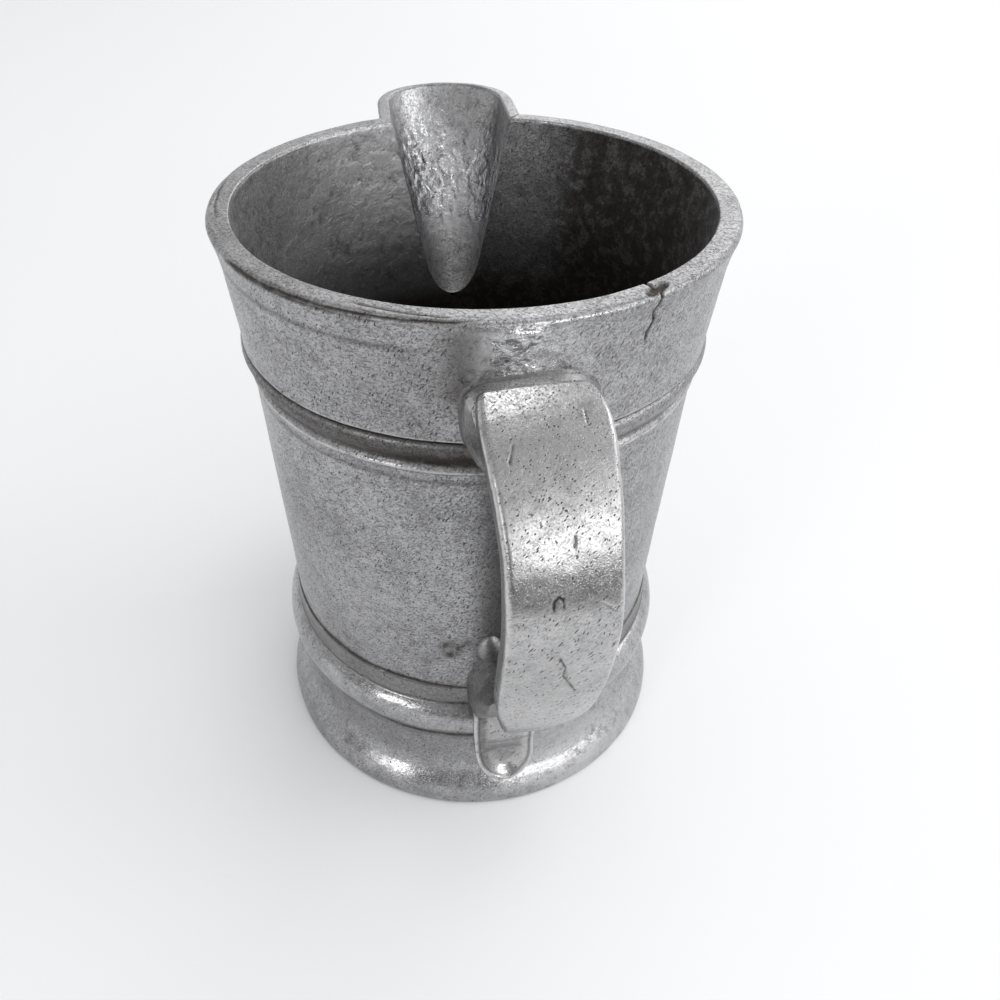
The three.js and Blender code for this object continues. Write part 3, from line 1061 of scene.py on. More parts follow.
    def _scores(
        self, grid: np.ndarray, degrees: np.ndarray, profile: np.ndarray, inside_row: int
    ) -> tuple[np.ndarray, np.ndarray]:
        """Cracks, scored lines and the chipped place at the rim.

        Args:
            grid: Points of the barrel.
            degrees: Angle of each point.
            profile: Radius and height of each row.
            inside_row: Row at which the inside starts.

        Returns:
            Depth of the marks in millimetres, and their soil.
        """
        radius = profile[:, :1]
        height = profile[:, 1:]
        outer = np.arange(len(profile))[:, None] < inside_row
        wander = self.wander.at(grid)
        depth = np.zeros(degrees.shape)
        soil = np.zeros(degrees.shape)
        for score in self.scores:
            first, second = np.array(score.points).T
            if score.face is Face.RIM:
                line = np.interp(degrees, first, second)
                far = np.abs(radius - line + 0.4 * wander)
                ends = np.minimum(degrees - first[0], first[-1] - degrees)
                here = fade(ends, 0.0, 3.0) * (height > HEIGHT - 1.2) * outer
            else:
                line = np.interp(height, second, first)
                far = np.abs(np.radians(degrees - line) * radius + 0.7 * wander)
                ends = np.minimum(height - second[0], second[-1] - height)
                here = fade(ends, 0.0, 0.7) * outer
            mark = bell(far, 0.0, score.width) * here
            depth = np.maximum(depth, score.depth * mark)
            soil = np.maximum(soil, score.soil * mark)
        chip_angle, chip_radius = self.chip_place
        wide, deep = self.chip_reach
        across = np.radians(degrees - chip_angle) * 38.5 + 0.7 * (radius - 38.6)
        chip = np.hypot(across / wide, (radius - chip_radius) / deep) + 1.5 * wander
        chip = (1.0 - fade(chip, 0.55, 1.05)) * (height > HEIGHT - 0.3) * outer
        return np.maximum(depth, self.chip_depth * chip), np.maximum(soil, chip)

    def _outer_soil_and_shade(self, degrees: np.ndarray, height: np.ndarray) -> np.ndarray:
        """Soil and painted shade on the outside, with a real dark blot low on the wall.

        Args:
            degrees: Angle of each grid point.
            height: Height of each row.

        Returns:
            Soil and painted shade from 0 to 1 at each grid point.
        """
        left = fade(degrees, -95.0, -50.0) * (1.0 - fade(degrees, 0.0, 10.0))
        # Painted shade on the band, stronger on the left and next to the handle, mixed with brown patina.
        band = fade(height, 83.0, 83.6) * (1.0 - fade(height, 87.3, 88.0)) * (0.25 + 0.50 * left)
        band = band + 0.6 * bell(degrees, -6.0, 16.0) * bell(height, 84.6, 1.2)
        # Darker groove under the neck.
        under_neck = (0.35 + 0.55 * left) * bell(height, 88.05, 0.22)
        # Painted shadow under the band's ridge; painted shade under the rim's flare on the left.
        crease = 0.55 * bell(height, 80.6, 0.45) * left
        crease = crease + 0.5 * bell(height, 102.8, 0.5) * left * fade(-degrees, 12.0, 22.0)
        # Darker line where the wall meets the bead.
        foot = 0.3 * bell(height, 32.3, 0.35)
        below_rim = 1.0 - fade(height, 105.0, 107.4)
        # Painted dark reflection down the neck beside the upper root and left of the handle; painted shadow
        # of the strap on the wall behind it.
        root = 0.95 * bell(degrees, -7.5, 5.0) * fade(height, 92.0, 97.0) * below_rim
        beside = bell(degrees, -22.0, 14.0) * fade(height, 88.8, 90.0) * (1.0 - fade(height, 99.0, 103.0))
        behind = bell(degrees, 3.0, 9.0) * (1.0 - fade(height, 60.0, 78.0))
        soil = band + under_neck + crease + foot + root + 0.18 * beside + 0.5 * behind
        return np.clip(soil + 0.9 * self._blot(degrees, height), 0.0, 1.0)

    def _blot(self, degrees: np.ndarray, height: np.ndarray) -> np.ndarray:
        """Dark blot low on the wall: a broken ring with a spot inside and one beside it.

        Args:
            degrees: Angle of each grid point.
            height: Height of each row.

        Returns:
            Share of the blot at each grid point.
        """
        across = (degrees - self.blot_place[0]) * 0.27
        up = (height - self.blot_place[1]) / 2.6
        turn = np.arctan2(up, across)
        ring = bell(np.hypot(across, up), 0.6, 0.3) * (0.75 + 0.25 * np.sin(3.0 * turn + 0.7))
        beside = 0.8 * bell(np.hypot(across - 1.15, up - 0.75), 0.0, 0.3)
        inside = 0.6 * bell(np.hypot(across / 0.5, up + 0.1), 0.0, 0.4)
        return ring + beside + inside


@dataclass
class Spout:
    """Trough spout at the rim with its lining and lip."""

    barrel: Barrel
    channel: Trough = Trough(11.0, 59.0, 3.65, 34.0)
    shell: Trough = Trough(13.2, 60.2, 5.85, 36.7)
    lip_round: float = 0.5
    channel_round: float = 0.4
    lip_lift: float = 0.03
    bury: float = 0.3
    lining_gap: float = 0.02
    columns: int = 121
    rows: int = 56
    solder_leg: float = 1.1
    solder_rows: int = 60
    solder_below_rim: float = 1.6
    waves: Unevenness = Unevenness(23, ((9.0, 0.10), (3.5, 0.05), (1.3, 0.014)))

    def _lowest(
        self, trough: Trough, radius_at: Callable[[np.ndarray], np.ndarray], beyond: float
    ) -> float:
        """Height at which a trough's tip meets the wall.

        Args:
            trough: The trough.
            radius_at: Method that gives the wall's radius at a height.
            beyond: How far outside the wall the meeting lies.

        Returns:
            The height.
        """
        low, high = 60.0, HEIGHT
        for _ in range(50):
            middle = (low + high) / 2
            if trough.reach(middle) < radius_at(middle) + beyond:
                low = middle
            else:
                high = middle
        return high

    def build(self) -> bpy.types.Object:
        """Makes the spout as one skin: outside, lip and lining.

        Returns:
            The piece.
        """
        share = np.linspace(-1.0, 1.0, self.columns)
        rise = np.linspace(0.0, 1.0, self.rows) ** 1.25
        top = HEIGHT + self.lip_lift
        wall = self.barrel.outer_radius
        low = self._lowest(self.shell, wall, -self.bury)
        outer_z = low + (top - self.lip_round - low) * rise
        outer_run = self.shell.run_to(wall(outer_z) - self.bury, outer_z)
        outer = self.shell.point(share * outer_run[:, None], outer_z[:, None])

        wall = self.barrel.inner_radius
        low = self._lowest(self.channel, wall, self.lining_gap)
        inner_z = low + (top - self.channel_round - low) * rise[::-1]
        inner_run = self.channel.run_to(wall(inner_z) + self.lining_gap, inner_z)
        inner = self.channel.point(share * inner_run[:, None], inner_z[:, None])

        lip = self._lip(outer[-1], inner[0])
        grid = np.concatenate([outer, lip, inner])
        lining = len(outer) + len(lip)
        paint = {name: np.zeros(grid.shape[:2]) for name in ("tarnish", "rugged", "worn")}
        # Lining darker towards its foot; lighter round its middle, partly polish from pouring and partly
        # painted sheen; a painted highlight on its lowest edge.
        paint["tarnish"][lining:] = (0.9 * (1.0 - fade(inner_z, 76.0, 90.0)))[:, None]
        paint["rugged"][lining:] = (0.2 + bell(inner_z, 93.0, 7.5))[:, None]
        paint["worn"][lining:] = (0.25 + 0.75 * bell(inner_z, 92.0, 8.0))[:, None]
        paint["worn"][-2:] = 0.8
        normal = grid_normals(grid, False, False)
        grid = grid + normal * self.waves.at(grid)[..., None]
        sheets = Sheets()
        sheets.add(grid, **paint)
        return sheets.build("spout", outside=(0.0, 0.3, 1.0))

    def _lip(self, outer: np.ndarray, inner: np.ndarray) -> np.ndarray:
        """Rows of the lip from the outside over the rounded edges to the lining.

        Args:
            outer: Uppermost row of the outside.
            inner: Uppermost row of the lining.

        Returns:
            Rows of points between the two.
        """
        across = inner - outer
        across[:, 2] = 0.0
        width = np.linalg.norm(across, axis=-1, keepdims=True)
        across = across / width
        up = np.array([0.0, 0.0, 1.0])
        turns = np.radians([22.5, 45.0, 67.5, 90.0])
        rows = []
        for turn in turns:
            step = across * self.lip_round * (1.0 - math.cos(turn))
            rows.append(outer + step + up * self.lip_round * math.sin(turn))
        start = rows[-1]
        flat = width - self.lip_round - self.channel_round
        for part in (0.2, 0.4, 0.6, 0.8):
            rows.append(start + across * flat * part)
        for turn in turns[::-1]:
            step = across * self.channel_round * (1.0 - math.cos(turn))
            rows.append(inner - step + up * self.channel_round * math.sin(turn))
        return np.stack(rows)

    def build_solder(self) -> bpy.types.Object:
        """Makes the run of solder between the spout's outside and the wall.

        Returns:
            The piece.
        """
        low = self._lowest(self.shell, self.barrel.outer_radius, 0.0)
        rise = np.linspace(0.0, 1.0, self.solder_rows) ** 1.6
        half_z = low + (HEIGHT - self.solder_below_rim - low) * rise
        side = np.concatenate([-np.ones(self.solder_rows - 1), np.ones(self.solder_rows)])
        z = np.concatenate([half_z[:0:-1], half_z])
        run = self.shell.run_to(self.barrel.outer_radius(z), z) * side
        seam = self.shell.point(run, z)
        tangent = unit(np.gradient(seam, axis=0))
        radial = unit(seam * [1.0, 1.0, 0.0])
        along_wall = np.cross(tangent, radial)
        along_wall *= np.where(along_wall[:, 2:] > 0, -1.0, 1.0)
        keel = self.shell.point(run * 0.9, z + 0.6) - seam
        keel = unit(keel - tangent * np.sum(keel * tangent, axis=1, keepdims=True))
        grid = capped(fillet(seam, along_wall, keel, self.solder_leg))
        sheets = Sheets()
        sheets.add(grid, round_columns=True, soil=np.full(grid.shape[:2], 0.15))
        return sheets.build("spout_solder")


@dataclass
class Foot:
    """Base bead, flared foot ring, floor of the vessel and their solder."""

    bead_centre: tuple[float, float] = (34.25, 23.2)
    bead_reach: tuple[float, float] = (4.2, 5.0)
    bead_band: tuple[tuple[float, float], ...] = (
        (36.4, 27.9),
        (36.3, 28.6),
        (36.24, 29.8),
        (36.16, 31.0),
        (36.1, 31.8),
        (35.98, 32.2),
        (35.75, 32.32),
    )
    flare_outline: tuple[tuple[float, float], ...] = (
        (39.5, 0.0),
        (40.0, 0.15),
        (40.26, 0.7),
        (40.2, 1.7),
        (39.95, 2.7),
        (39.5, 3.7),
        (38.9, 4.7),
        (38.2, 5.7),
        (37.5, 6.7),
        (36.9, 7.9),
        (36.45, 9.3),
        (36.15, 10.9),
        (36.02, 12.7),
        (35.98, 14.6),
        (36.08, 16.3),
        (36.2, 17.0),
    )
    bead_turn: tuple[float, float] = (-64.0, 58.0)
    bead_back: tuple[tuple[float, float], ...] = (
        (35.1, 32.3),
        (34.9, 27.0),
        (35.0, 20.0),
        (35.0, 18.62),
        (35.5, 18.62),
    )
    ring_rest: tuple[tuple[float, float], ...] = ((36.8, 0.0), (38.0, 0.0), (39.0, 0.0))
    ring_neck: tuple[tuple[float, float], ...] = (
        (36.2, 17.25),
        (36.05, 17.5),
        (36.0, 17.9),
        (35.95, 18.3),
        (35.7, 18.42),
        (35.0, 18.42),
    )
    ring_under: tuple[tuple[float, float], ...] = (
        (29.0, 18.42),
        (29.0, 15.5),
        (33.4, 15.3),
        (34.2, 12.0),
        (35.0, 8.0),
        (36.4, 2.0),
        (36.7, 0.6),
    )
    floor_radius: float = 32.6
    floor_eye: float = 0.3
    floor_top: float = 21.35
    floor_under: float = 18.62
    floor_dish: float = 0.5
    floor_corner: tuple[float, float] = (32.72, 21.45)
    ledge_corner: tuple[float, float] = (28.85, 18.45)
    solder_round: float = 1.5
    columns: int = 360
    waves: Unevenness = Unevenness(37, ((14.0, 0.09), (4.5, 0.05), (1.6, 0.014)))

    def _turned(
        self, name: str, section: np.ndarray, soil: np.ndarray, right_sheen: float = 0.0, root_shade: float = 0.0
    ) -> bpy.types.Object:
        """Makes a turned ring, with painted sheen to the right of the handle and painted shade to its left.

        Args:
            name: Name of the piece.
            section: Closed section as radius and height.
            soil: Soil at each point of the section.
            right_sheen: Share of painted sheen to the right of the handle.
            root_shade: Share of painted shade left of the handle, on the bead's top under the lower root.

        Returns:
            The piece.
        """
        turns = np.linspace(-math.pi, math.pi, self.columns, endpoint=False)[None]
        grid = lathe(section, turns)
        normal = grid_normals(grid, True, True)
        grid = grid + normal * self.waves.at(grid)[..., None]
        degrees = np.degrees(turns)
        # Painted sheen to the right of the handle; painted shade on the bead's top left of the lower root.
        worn = right_sheen * bell(degrees, 32.0, 24.0)
        left = bell(degrees, -6.0, 7.0) * bell(section[:, 1:], 27.0, 1.5)
        soil = np.clip(soil[:, None] + root_shade * left, 0.0, 1.0)
        sheets = Sheets()
        sheets.add(grid, round_rows=True, round_columns=True, soil=soil, worn=worn)
        return sheets.build(name)

    def build_bead(self) -> bpy.types.Object:
        """Makes the half-round bead at the foot of the barrel.

        Returns:
            The piece.
        """
        turn = np.radians(np.linspace(*self.bead_turn, 52))
        bead = np.stack([np.cos(turn), np.sin(turn)], axis=-1) * self.bead_reach + self.bead_centre
        plain = smooth_curve(list(self.bead_band), 22)
        section = np.concatenate([bead, plain, np.array(self.bead_back)])
        height = section[:, 1]
        # Painted shade on the plain band above the bead; darker grooves at its two ends and under the bead.
        soil = 0.4 * bell(height, 32.2, 0.35) + 0.4 * bell(height, 27.9, 0.3)
        soil += 0.46 * fade(height, 27.0, 28.2) + 0.6 * bell(height, 18.8, 0.4)
        return self._turned("base_bead", section, np.clip(soil, 0.0, 1.0), root_shade=0.7)

    def build_ring(self) -> bpy.types.Object:
        """Makes the flared foot with its rolled edge and hollow underside.

        Returns:
            The piece.
        """
        flare = smooth_curve(list(self.flare_outline), 60)
        section = np.concatenate([self.ring_rest, flare, self.ring_neck, self.ring_under])
        radius, height = section.T
        # Painted shadow in the waist under the bead, painted shade on the flare's upper part, darker where
        # it stands on the floor.
        soil = 0.9 * bell(height, 17.7, 0.6) * (radius > 35.9)
        soil += 0.5 * (height < 0.3) + 0.2 * fade(height, 6.5, 11.0) * (radius > 35.5)
        return self._turned("foot_ring", section, np.clip(soil, 0.0, 1.0), right_sheen=0.6)

    def build_floor(self) -> bpy.types.Object:
        """Makes the floor of the vessel, slightly dished and turned in rings.

        Returns:
            The piece.
        """
        radii = np.linspace(self.floor_radius, self.floor_eye, 60)
        dish = self.floor_dish * np.cos(radii / self.floor_radius * math.pi / 2)
        upper = np.stack([radii, self.floor_top - dish + 0.03 * np.sin(radii * 2.1)], axis=-1)
        below = radii[::-1]
        under = np.stack([below, self.floor_under + 0.02 * np.sin(below * 2.4)], axis=-1)
        # Painted shade on the floor's inner face, deep in the vessel; light soil underneath.
        soil = np.concatenate([np.full(len(upper), 0.9), np.full(len(under), 0.25)])
        return self._turned("bottom_disc", np.concatenate([upper, under]), soil)

    def build_floor_solder(self) -> bpy.types.Object:
        """Makes the solder ring in the corner of the floor and the wall.

        Returns:
            The piece.
        """
        radius, height = self.floor_corner
        turn = self.solder_round
        face = arc((radius - turn, height + turn), turn, -88.0, -2.0, 12)
        section = np.concatenate([face, [(33.0, 23.0), (33.0, 21.3), (31.2, 21.3)]])
        # Painted shade, as this corner lies deep in the vessel.
        return self._turned("bottom_solder", section, np.full(len(section), 0.9))

    def build_foot_solder(self) -> bpy.types.Object:
        """Makes the solder ring under the floor, inside the foot's ledge.

        Returns:
            The piece.
        """
        radius, height = self.ledge_corner
        turn = self.solder_round
        face = arc((radius - turn, height - turn), turn, 88.0, 2.0, 12)
        section = np.concatenate([face, [(29.1, 16.9), (29.1, 18.6), (27.3, 18.6)]])
        return self._turned("foot_solder", section, np.full(len(section), 0.3))


# Handle

Outline = Callable[[np.ndarray, np.ndarray], tuple[np.ndarray, np.ndarray]]


@dataclass(frozen=True)
class Dent:
    """Scratch or worm-shaped pit on the strap: points across the strap and along its height."""

    points: tuple[tuple[float, float], ...]
    width: float
    depth: float
    soil: float


@dataclass
class Handle:
    """Strap handle with the two roots and the tongue that hold it to the vessel."""

    barrel: Barrel
    skew: float = math.radians(5.4)
    strap_path: tuple[tuple[float, float], ...] = (
        (40.35, 99.15),
        (44.3, 96.6),
        (48.3, 93.3),
        (54.0, 86.2),
        (57.6, 78.0),
        (58.7, 68.5),
        (57.2, 59.5),
        (53.9, 48.6),
        (50.0, 38.8),
        (48.4, 35.8),
        (45.8, 33.4),
        (42.4, 31.9),
        (39.0, 31.4),
    )
    strap_left: tuple[tuple[float, float], ...] = (
        (0.0, 7.5),
        (0.5, 8.15),
        (1.65, 8.45),
        (4.9, 8.7),
        (8.2, 8.55),
        (14.0, 8.2),
        (22.0, 7.8),
        (33.0, 7.85),
        (41.5, 8.05),
        (50.0, 7.9),
        (55.0, 7.6),
        (59.0, 7.1),
        (62.0, 6.45),
        (65.0, 5.7),
        (68.0, 5.1),
        (72.0, 4.7),
        (90.0, 4.4),
    )
    strap_right: tuple[tuple[float, float], ...] = (
        (0.0, 5.6),
        (0.6, 6.6),
        (1.33, 7.24),
        (3.06, 7.95),
        (5.4, 8.3),
        (8.7, 8.3),
        (12.7, 8.05),
        (24.0, 7.82),
        (38.5, 7.82),
        (51.3, 8.15),
        (57.4, 8.23),
        (61.0, 8.1),
        (64.0, 7.65),
        (66.5, 6.95),
        (69.0, 5.95),
        (72.0, 4.9),
        (76.0, 4.3),
        (90.0, 4.0),
    )
    strap_thickness: float = 3.9
    strap_crown: float = 0.22
    left_round: float = 1.0
    right_round: float = 0.9
    back_round: float = 0.6
    dents: tuple[Dent, ...] = (
        Dent(((-5.1, 94.7), (-5.4, 94.1), (-5.8, 93.3)), 0.16, 0.14, 0.9),
        Dent(((-0.6, 67.6), (0.5, 65.1), (0.35, 62.9), (1.8, 59.8), (3.0, 57.1)), 0.22, 0.18, 0.9),
        Dent(((-1.9, 76.6), (-1.8, 77.9), (-1.2, 78.5), (-0.6, 78.0), (-0.6, 77.0)), 0.2, 0.04, 1.0),
        Dent(((4.7, 76.7), (5.9, 75.6), (6.9, 74.8)), 0.16, 0.12, 0.0),
        Dent(((1.2, 85.6), (1.0, 83.6)), 0.14, 0.12, 0.7),
        Dent(((4.6, 97.0), (4.7, 95.8)), 0.15, 0.12, 0.8),
    )
    strap_rows: int = 400
    strap_end_round: float = 0.5
    wander: Unevenness = Unevenness(83, ((0.9, 0.14), (0.35, 0.07)))
    upper_run: tuple[float, float] = (36.4, 46.2)
    upper_half: tuple[tuple[float, float], ...] = (
        (37.0, 9.35),
        (38.6, 9.2),
        (40.2, 8.7),
        (43.0, 8.25),
        (46.4, 8.0),
    )
    upper_top: tuple[tuple[float, float], ...] = (
        (36.4, 99.6),
        (38.4, 99.45),
        (40.3, 98.75),
        (41.5, 97.1),
        (44.0, 94.6),
        (46.4, 92.4),
    )
    upper_under: tuple[tuple[float, float], ...] = (
        (36.4, 80.6),
        (38.0, 81.2),
        (40.0, 83.4),
        (42.5, 86.6),
        (45.0, 90.0),
        (46.4, 91.2),
    )
    upper_middle: float = 93.2
    upper_leg: float = 0.35
    lower_run: tuple[float, float] = (34.2, 47.2)
    lower_half: tuple[tuple[float, float], ...] = (
        (35.0, 7.8),
        (36.0, 7.7),
        (38.0, 7.5),
        (42.0, 7.2),
        (47.4, 6.6),
    )
    lower_top: tuple[tuple[float, float], ...] = (
        (34.0, 41.6),
        (35.8, 41.3),
        (37.0, 41.0),
        (39.0, 41.0),
        (41.0, 41.4),
        (43.0, 42.1),
        (45.0, 43.1),
        (47.4, 44.4),
    )
    lower_under: tuple[tuple[float, float], ...] = (
        (34.0, 27.0),
        (39.5, 28.5),
        (41.5, 32.5),
        (43.5, 34.8),
        (45.5, 37.5),
        (47.4, 42.0),
    )
    lower_middle: tuple[tuple[float, float], ...] = (
        (34.0, 32.3),
        (40.0, 33.5),
        (44.0, 38.5),
        (47.4, 43.2),
    )
    lower_leg: float = 0.3
    drop_place: tuple[float, float] = (-4.4, 43.4)
    drop_reach: tuple[float, float, float] = (2.2, 1.6, 3.2)
    tongue_half: float = 5.65
    tongue_tip: float = 6.0
    tongue_top: float = 33.0
    tongue_round: float = 8.0
    tongue_border: float = 0.28
    tongue_hollow: float = 1.5
    tongue_bend: float = 38.4
    tongue_lean: tuple[tuple[float, float], ...] = (
        (6.0, -1.0),
        (12.0, -1.1),
        (17.0, -1.5),
        (24.0, -1.8),
    )
    tongue_sink: tuple[tuple[float, float], ...] = ((14.0, 3.0), (28.0, 4.6))
    tongue_face: tuple[tuple[float, float], ...] = (
        (5.0, 38.9),
        (7.0, 38.7),
        (10.0, 38.3),
        (14.0, 38.0),
        (18.0, 38.35),
        (20.0, 38.75),
        (22.0, 39.0),
        (26.0, 39.3),
        (30.0, 39.4),
        (36.0, 39.5),
    )
    waves: Unevenness = Unevenness(53, ((12.0, 0.10), (4.2, 0.055), (1.4, 0.016)))

    def put(self, across: np.ndarray, out: np.ndarray, up: np.ndarray) -> np.ndarray:
        """Points of the vessel's frame from the handle's own directions.

        Args:
            across: Offset across the handle.
            out: Distance from the vessel's axis in the handle's plane.
            up: Height.

        Returns:
            Points with a last axis of three.
        """
        across, out, up = np.broadcast_arrays(across, out, up)
        x = across * math.cos(self.skew) + out * math.sin(self.skew)
        y = across * math.sin(self.skew) - out * math.cos(self.skew)
        return np.stack([x, y, up], axis=-1)

    def _finish(
        self, name: str, grid: np.ndarray, uneven: float, **paint: np.ndarray
    ) -> bpy.types.Object:
        """Makes a closed piece from rows of closed sections.

        Args:
            name: Name of the piece.
            grid: Rows of closed sections, capped at both ends.
            uneven: Share of the handle's waviness.
            **paint: Values from 0 to 1 at the points, by name.

        Returns:
            The piece.
        """
        normal = grid_normals(grid, False, True)
        lift = uneven * self.waves.at(grid)
        lift[:2] = 0.0
        lift[-2:] = 0.0
        sheets = Sheets()
        sheets.add(grid + normal * lift[..., None], round_columns=True, **paint)
        return sheets.build(name)

    def build_strap(self) -> bpy.types.Object:
        """Makes the strap along its curve, with its scratches.

        Returns:
            The piece.
        """
        path = smooth_curve(list(self.strap_path), self.strap_rows)
        length = np.concatenate([[0.0], np.cumsum(np.hypot(*np.diff(path, axis=0).T))])
        step = unit(np.gradient(path, axis=0))
        outward = np.stack([-step[:, 1], step[:, 0]], axis=-1)
        left = self._evened(np.interp(length, *np.array(self.strap_left).T))
        right = self._evened(np.interp(length, *np.array(self.strap_right).T))
        across, depth = self._strap_section(left, right)
        face = depth < 0.8
        cut, soil = self._dent(across, path[:, 1:], face)
        # Painted dark reflection on the strap's left side face.
        soil = np.maximum(soil, 0.5 * (across < -6.0) * fade(depth, 1.0, 1.5))
        depth = depth + self._corner(length, self.strap_end_round)[:, None] * face + cut
        out = path[:, :1] - outward[:, :1] * depth
        up = path[:, 1:] - outward[:, 1:] * depth
        grid = capped(self.put(across, out, up))
        paint = {
            "soil": soil,
            # Edges worn bright, with painted highlights along them.
            "worn": 0.7 * bell(depth, 0.7, 0.3) * (np.abs(across) > 6.0),
            # Painted dark reflection on a band across the strap's face near its top.
            "tarnish": 0.6 * bell(length, 15.0, 7.0)[:, None] * face,
        }
        for name, values in paint.items():
            paint[name] = np.concatenate([values[:1], values, values[-1:]])
        return self._finish("handle_strap", grid, 1.0, **paint)

    @staticmethod
    def _evened(widths: np.ndarray) -> np.ndarray:
        """Evens out the corners of a row of widths, apart from its ends.

        Args:
            widths: Half width at each row.

        Returns:
            The evened widths.
        """
        share = np.hanning(17) / np.hanning(17).sum()
        even = widths.copy()
        even[8:-8] = np.convolve(widths, share, mode="valid")
        return even

    def _dent(
        self, across: np.ndarray, height: np.ndarray, face: np.ndarray
    ) -> tuple[np.ndarray, np.ndarray]:
        """Depth and soil of the scratches on the strap's outer face.

        Args:
            across: Offset of each point across the strap.
            height: Height of each row.
            face: Whether a point is on the outer face.

        Returns:
            Depth in millimetres and soil from 0 to 1.
        """
        spots = np.stack(np.broadcast_arrays(across, height, 0.0), axis=-1)
        wander = self.wander.at(spots)
        cut = np.zeros(across.shape)
        soil = np.zeros(across.shape)
        for dent in self.dents:
            far = np.full(across.shape, 99.0)
            for (a0, z0), (a1, z1) in zip(dent.points, dent.points[1:]):
                run = (a1 - a0) ** 2 + (z1 - z0) ** 2
                part = ((across - a0) * (a1 - a0) + (height - z0) * (z1 - z0)) / run
                part = np.clip(part, 0.0, 1.0)
                gap = np.hypot(across - a0 - part * (a1 - a0), height - z0 - part * (z1 - z0))
                far = np.minimum(far, gap)
            mark = bell(np.maximum(far + wander, 0.0), 0.0, dent.width) * face
            cut = np.maximum(cut, dent.depth * mark)
            soil = np.maximum(soil, dent.soil * mark)
        return cut, soil

    @staticmethod
    def _corner(length: np.ndarray, radius: float) -> np.ndarray:
        """How far a rounded corner draws in near the start of a length."""
        part = np.clip(1.0 - length / radius, 0.0, 1.0)
        return radius * (1.0 - np.sqrt(1.0 - part**2))

    def _strap_section(self, left: np.ndarray, right: np.ndarray) -> tuple[np.ndarray, np.ndarray]:
        """Closed sections of the strap.

        Args:
            left: Half width on the left at each row.
            right: Half width on the right at each row.

        Returns:
            Offsets across and depths behind the outer face, rows by points.
        """
        thick = self.strap_thickness
        near = self.left_round
        far = self.right_round
        back = self.back_round
        edge = self.strap_crown
        left = left[:, None]
        right = right[:, None]
        none = 0.0 * left
        face = np.linspace(0.0, 1.0, 96)[None]
        turn = np.radians(np.linspace(0.0, 90.0, 9))[None, 1:]
        rear = np.linspace(0.0, 1.0, 30)[None, 1:]
        side = np.linspace(0.0, 1.0, 6)[None, 1:-1]
        face_a = -left + near + face * (left + right - near - far)
        parts = [
            (face_a, edge * (2.0 * face - 1.0) ** 2),
            (right - far + far * np.sin(turn), edge + far * (1.0 - np.cos(turn))),
            (right + 0.0 * side, edge + far + side * (thick - edge - far - back)),
            (right - back + back * np.cos(turn), thick - back + back * np.sin(turn)),
            (right - back - rear * (left + right - 2 * back), thick + 0.0 * rear),
            (-left + back - back * np.sin(turn), thick - back + back * np.cos(turn)),
            (-left + 0.0 * side, thick - back - side * (thick - edge - near - back)),
            (-left + near - near * np.cos(turn[:, :-1]), edge + near - near * np.sin(turn[:, :-1])),
        ]
        across = np.concatenate([part[0] for part in parts], axis=1)
        depth = np.concatenate([part[1] + none for part in parts], axis=1)
        return across, depth

    def _upper_section(self, out: np.ndarray, turn: np.ndarray) -> tuple[np.ndarray, np.ndarray]:
        """Outline of the upper root at a distance from the axis.

        Args:
            out: Distance from the vessel's axis.
            turn: Angles round the outline.

        Returns:
            Offsets across and heights.
        """
        half = np.interp(out, *np.array(self.upper_half).T)
        top = np.interp(out, *np.array(self.upper_top).T)
        under = np.interp(out, *np.array(self.upper_under).T)
        middle = np.minimum(self.upper_middle, top - 0.8)
        cosine, sine = np.cos(turn), np.sin(turn)
        square = np.where(sine > 0.0, 0.42, 0.95)
        reach = np.where((sine > 0.0) & (cosine > 0.0), 1.0 - 0.34 * sine, 1.0)
        across = -0.25 + half * reach * np.sign(cosine) * np.abs(cosine) ** square
        rise = np.where(sine > 0.0, top - middle, middle - under) * np.sign(sine) * np.abs(sine) ** square
        bow = np.where(across > 1.2, 0.020, 0.012) * (across - 1.2) ** 2
        return across, middle + rise - bow * np.clip(sine, 0.0, 1.0)

    def build_upper_block(self) -> bpy.types.Object:
        """Makes the root that carries the strap's upper end.

        Returns:
            The piece.
        """
        out = np.linspace(*self.upper_run, 60)[:, None]
        turn = np.linspace(0.0, 2 * math.pi, 120, endpoint=False)[None]
        across, up = self._upper_section(out, turn)
        grid = capped(self.put(across, out, up))
        # Darker close to the wall.
        near = np.exp(-np.maximum(out - 38.4, 0.0) / 0.7)
        tarnish = 0.45 * np.concatenate([near[:1], near, near[-1:]]) + 0.0 * grid[..., 0]
        return self._finish("upper_handle_block", grid, 0.8, tarnish=tarnish)

    def _lower_section(self, out: np.ndarray, turn: np.ndarray) -> tuple[np.ndarray, np.ndarray]:
        """Outline of the lower root at a distance from the axis.

        Args:
            out: Distance from the vessel's axis.
            turn: Angles round the outline.

        Returns:
            Offsets across and heights.
        """
        half = np.interp(out, *np.array(self.lower_half).T)
        top = np.interp(out, *np.array(self.lower_top).T)
        under = np.interp(out, *np.array(self.lower_under).T)
        middle = np.interp(out, *np.array(self.lower_middle).T)
        cosine, sine = np.cos(turn), np.sin(turn)
        square = np.where(sine > 0.0, 0.85, 0.30)
        across = -0.3 + half * np.sign(cosine) * np.abs(cosine) ** square
        rise = np.where(sine > 0.0, top - middle, middle - under) * np.sign(sine) * np.abs(sine) ** square
        return across, middle + rise

    def build_lower_block(self) -> bpy.types.Object:
        """Makes the root that carries the strap's lower end.

        Returns:
            The piece.
        """
        out = np.linspace(*self.lower_run, 64)[:, None]
        turn = np.linspace(0.0, 2 * math.pi, 120, endpoint=False)[None]
        across, up = self._lower_section(out, turn)
        grid = capped(self.put(across, out, up))
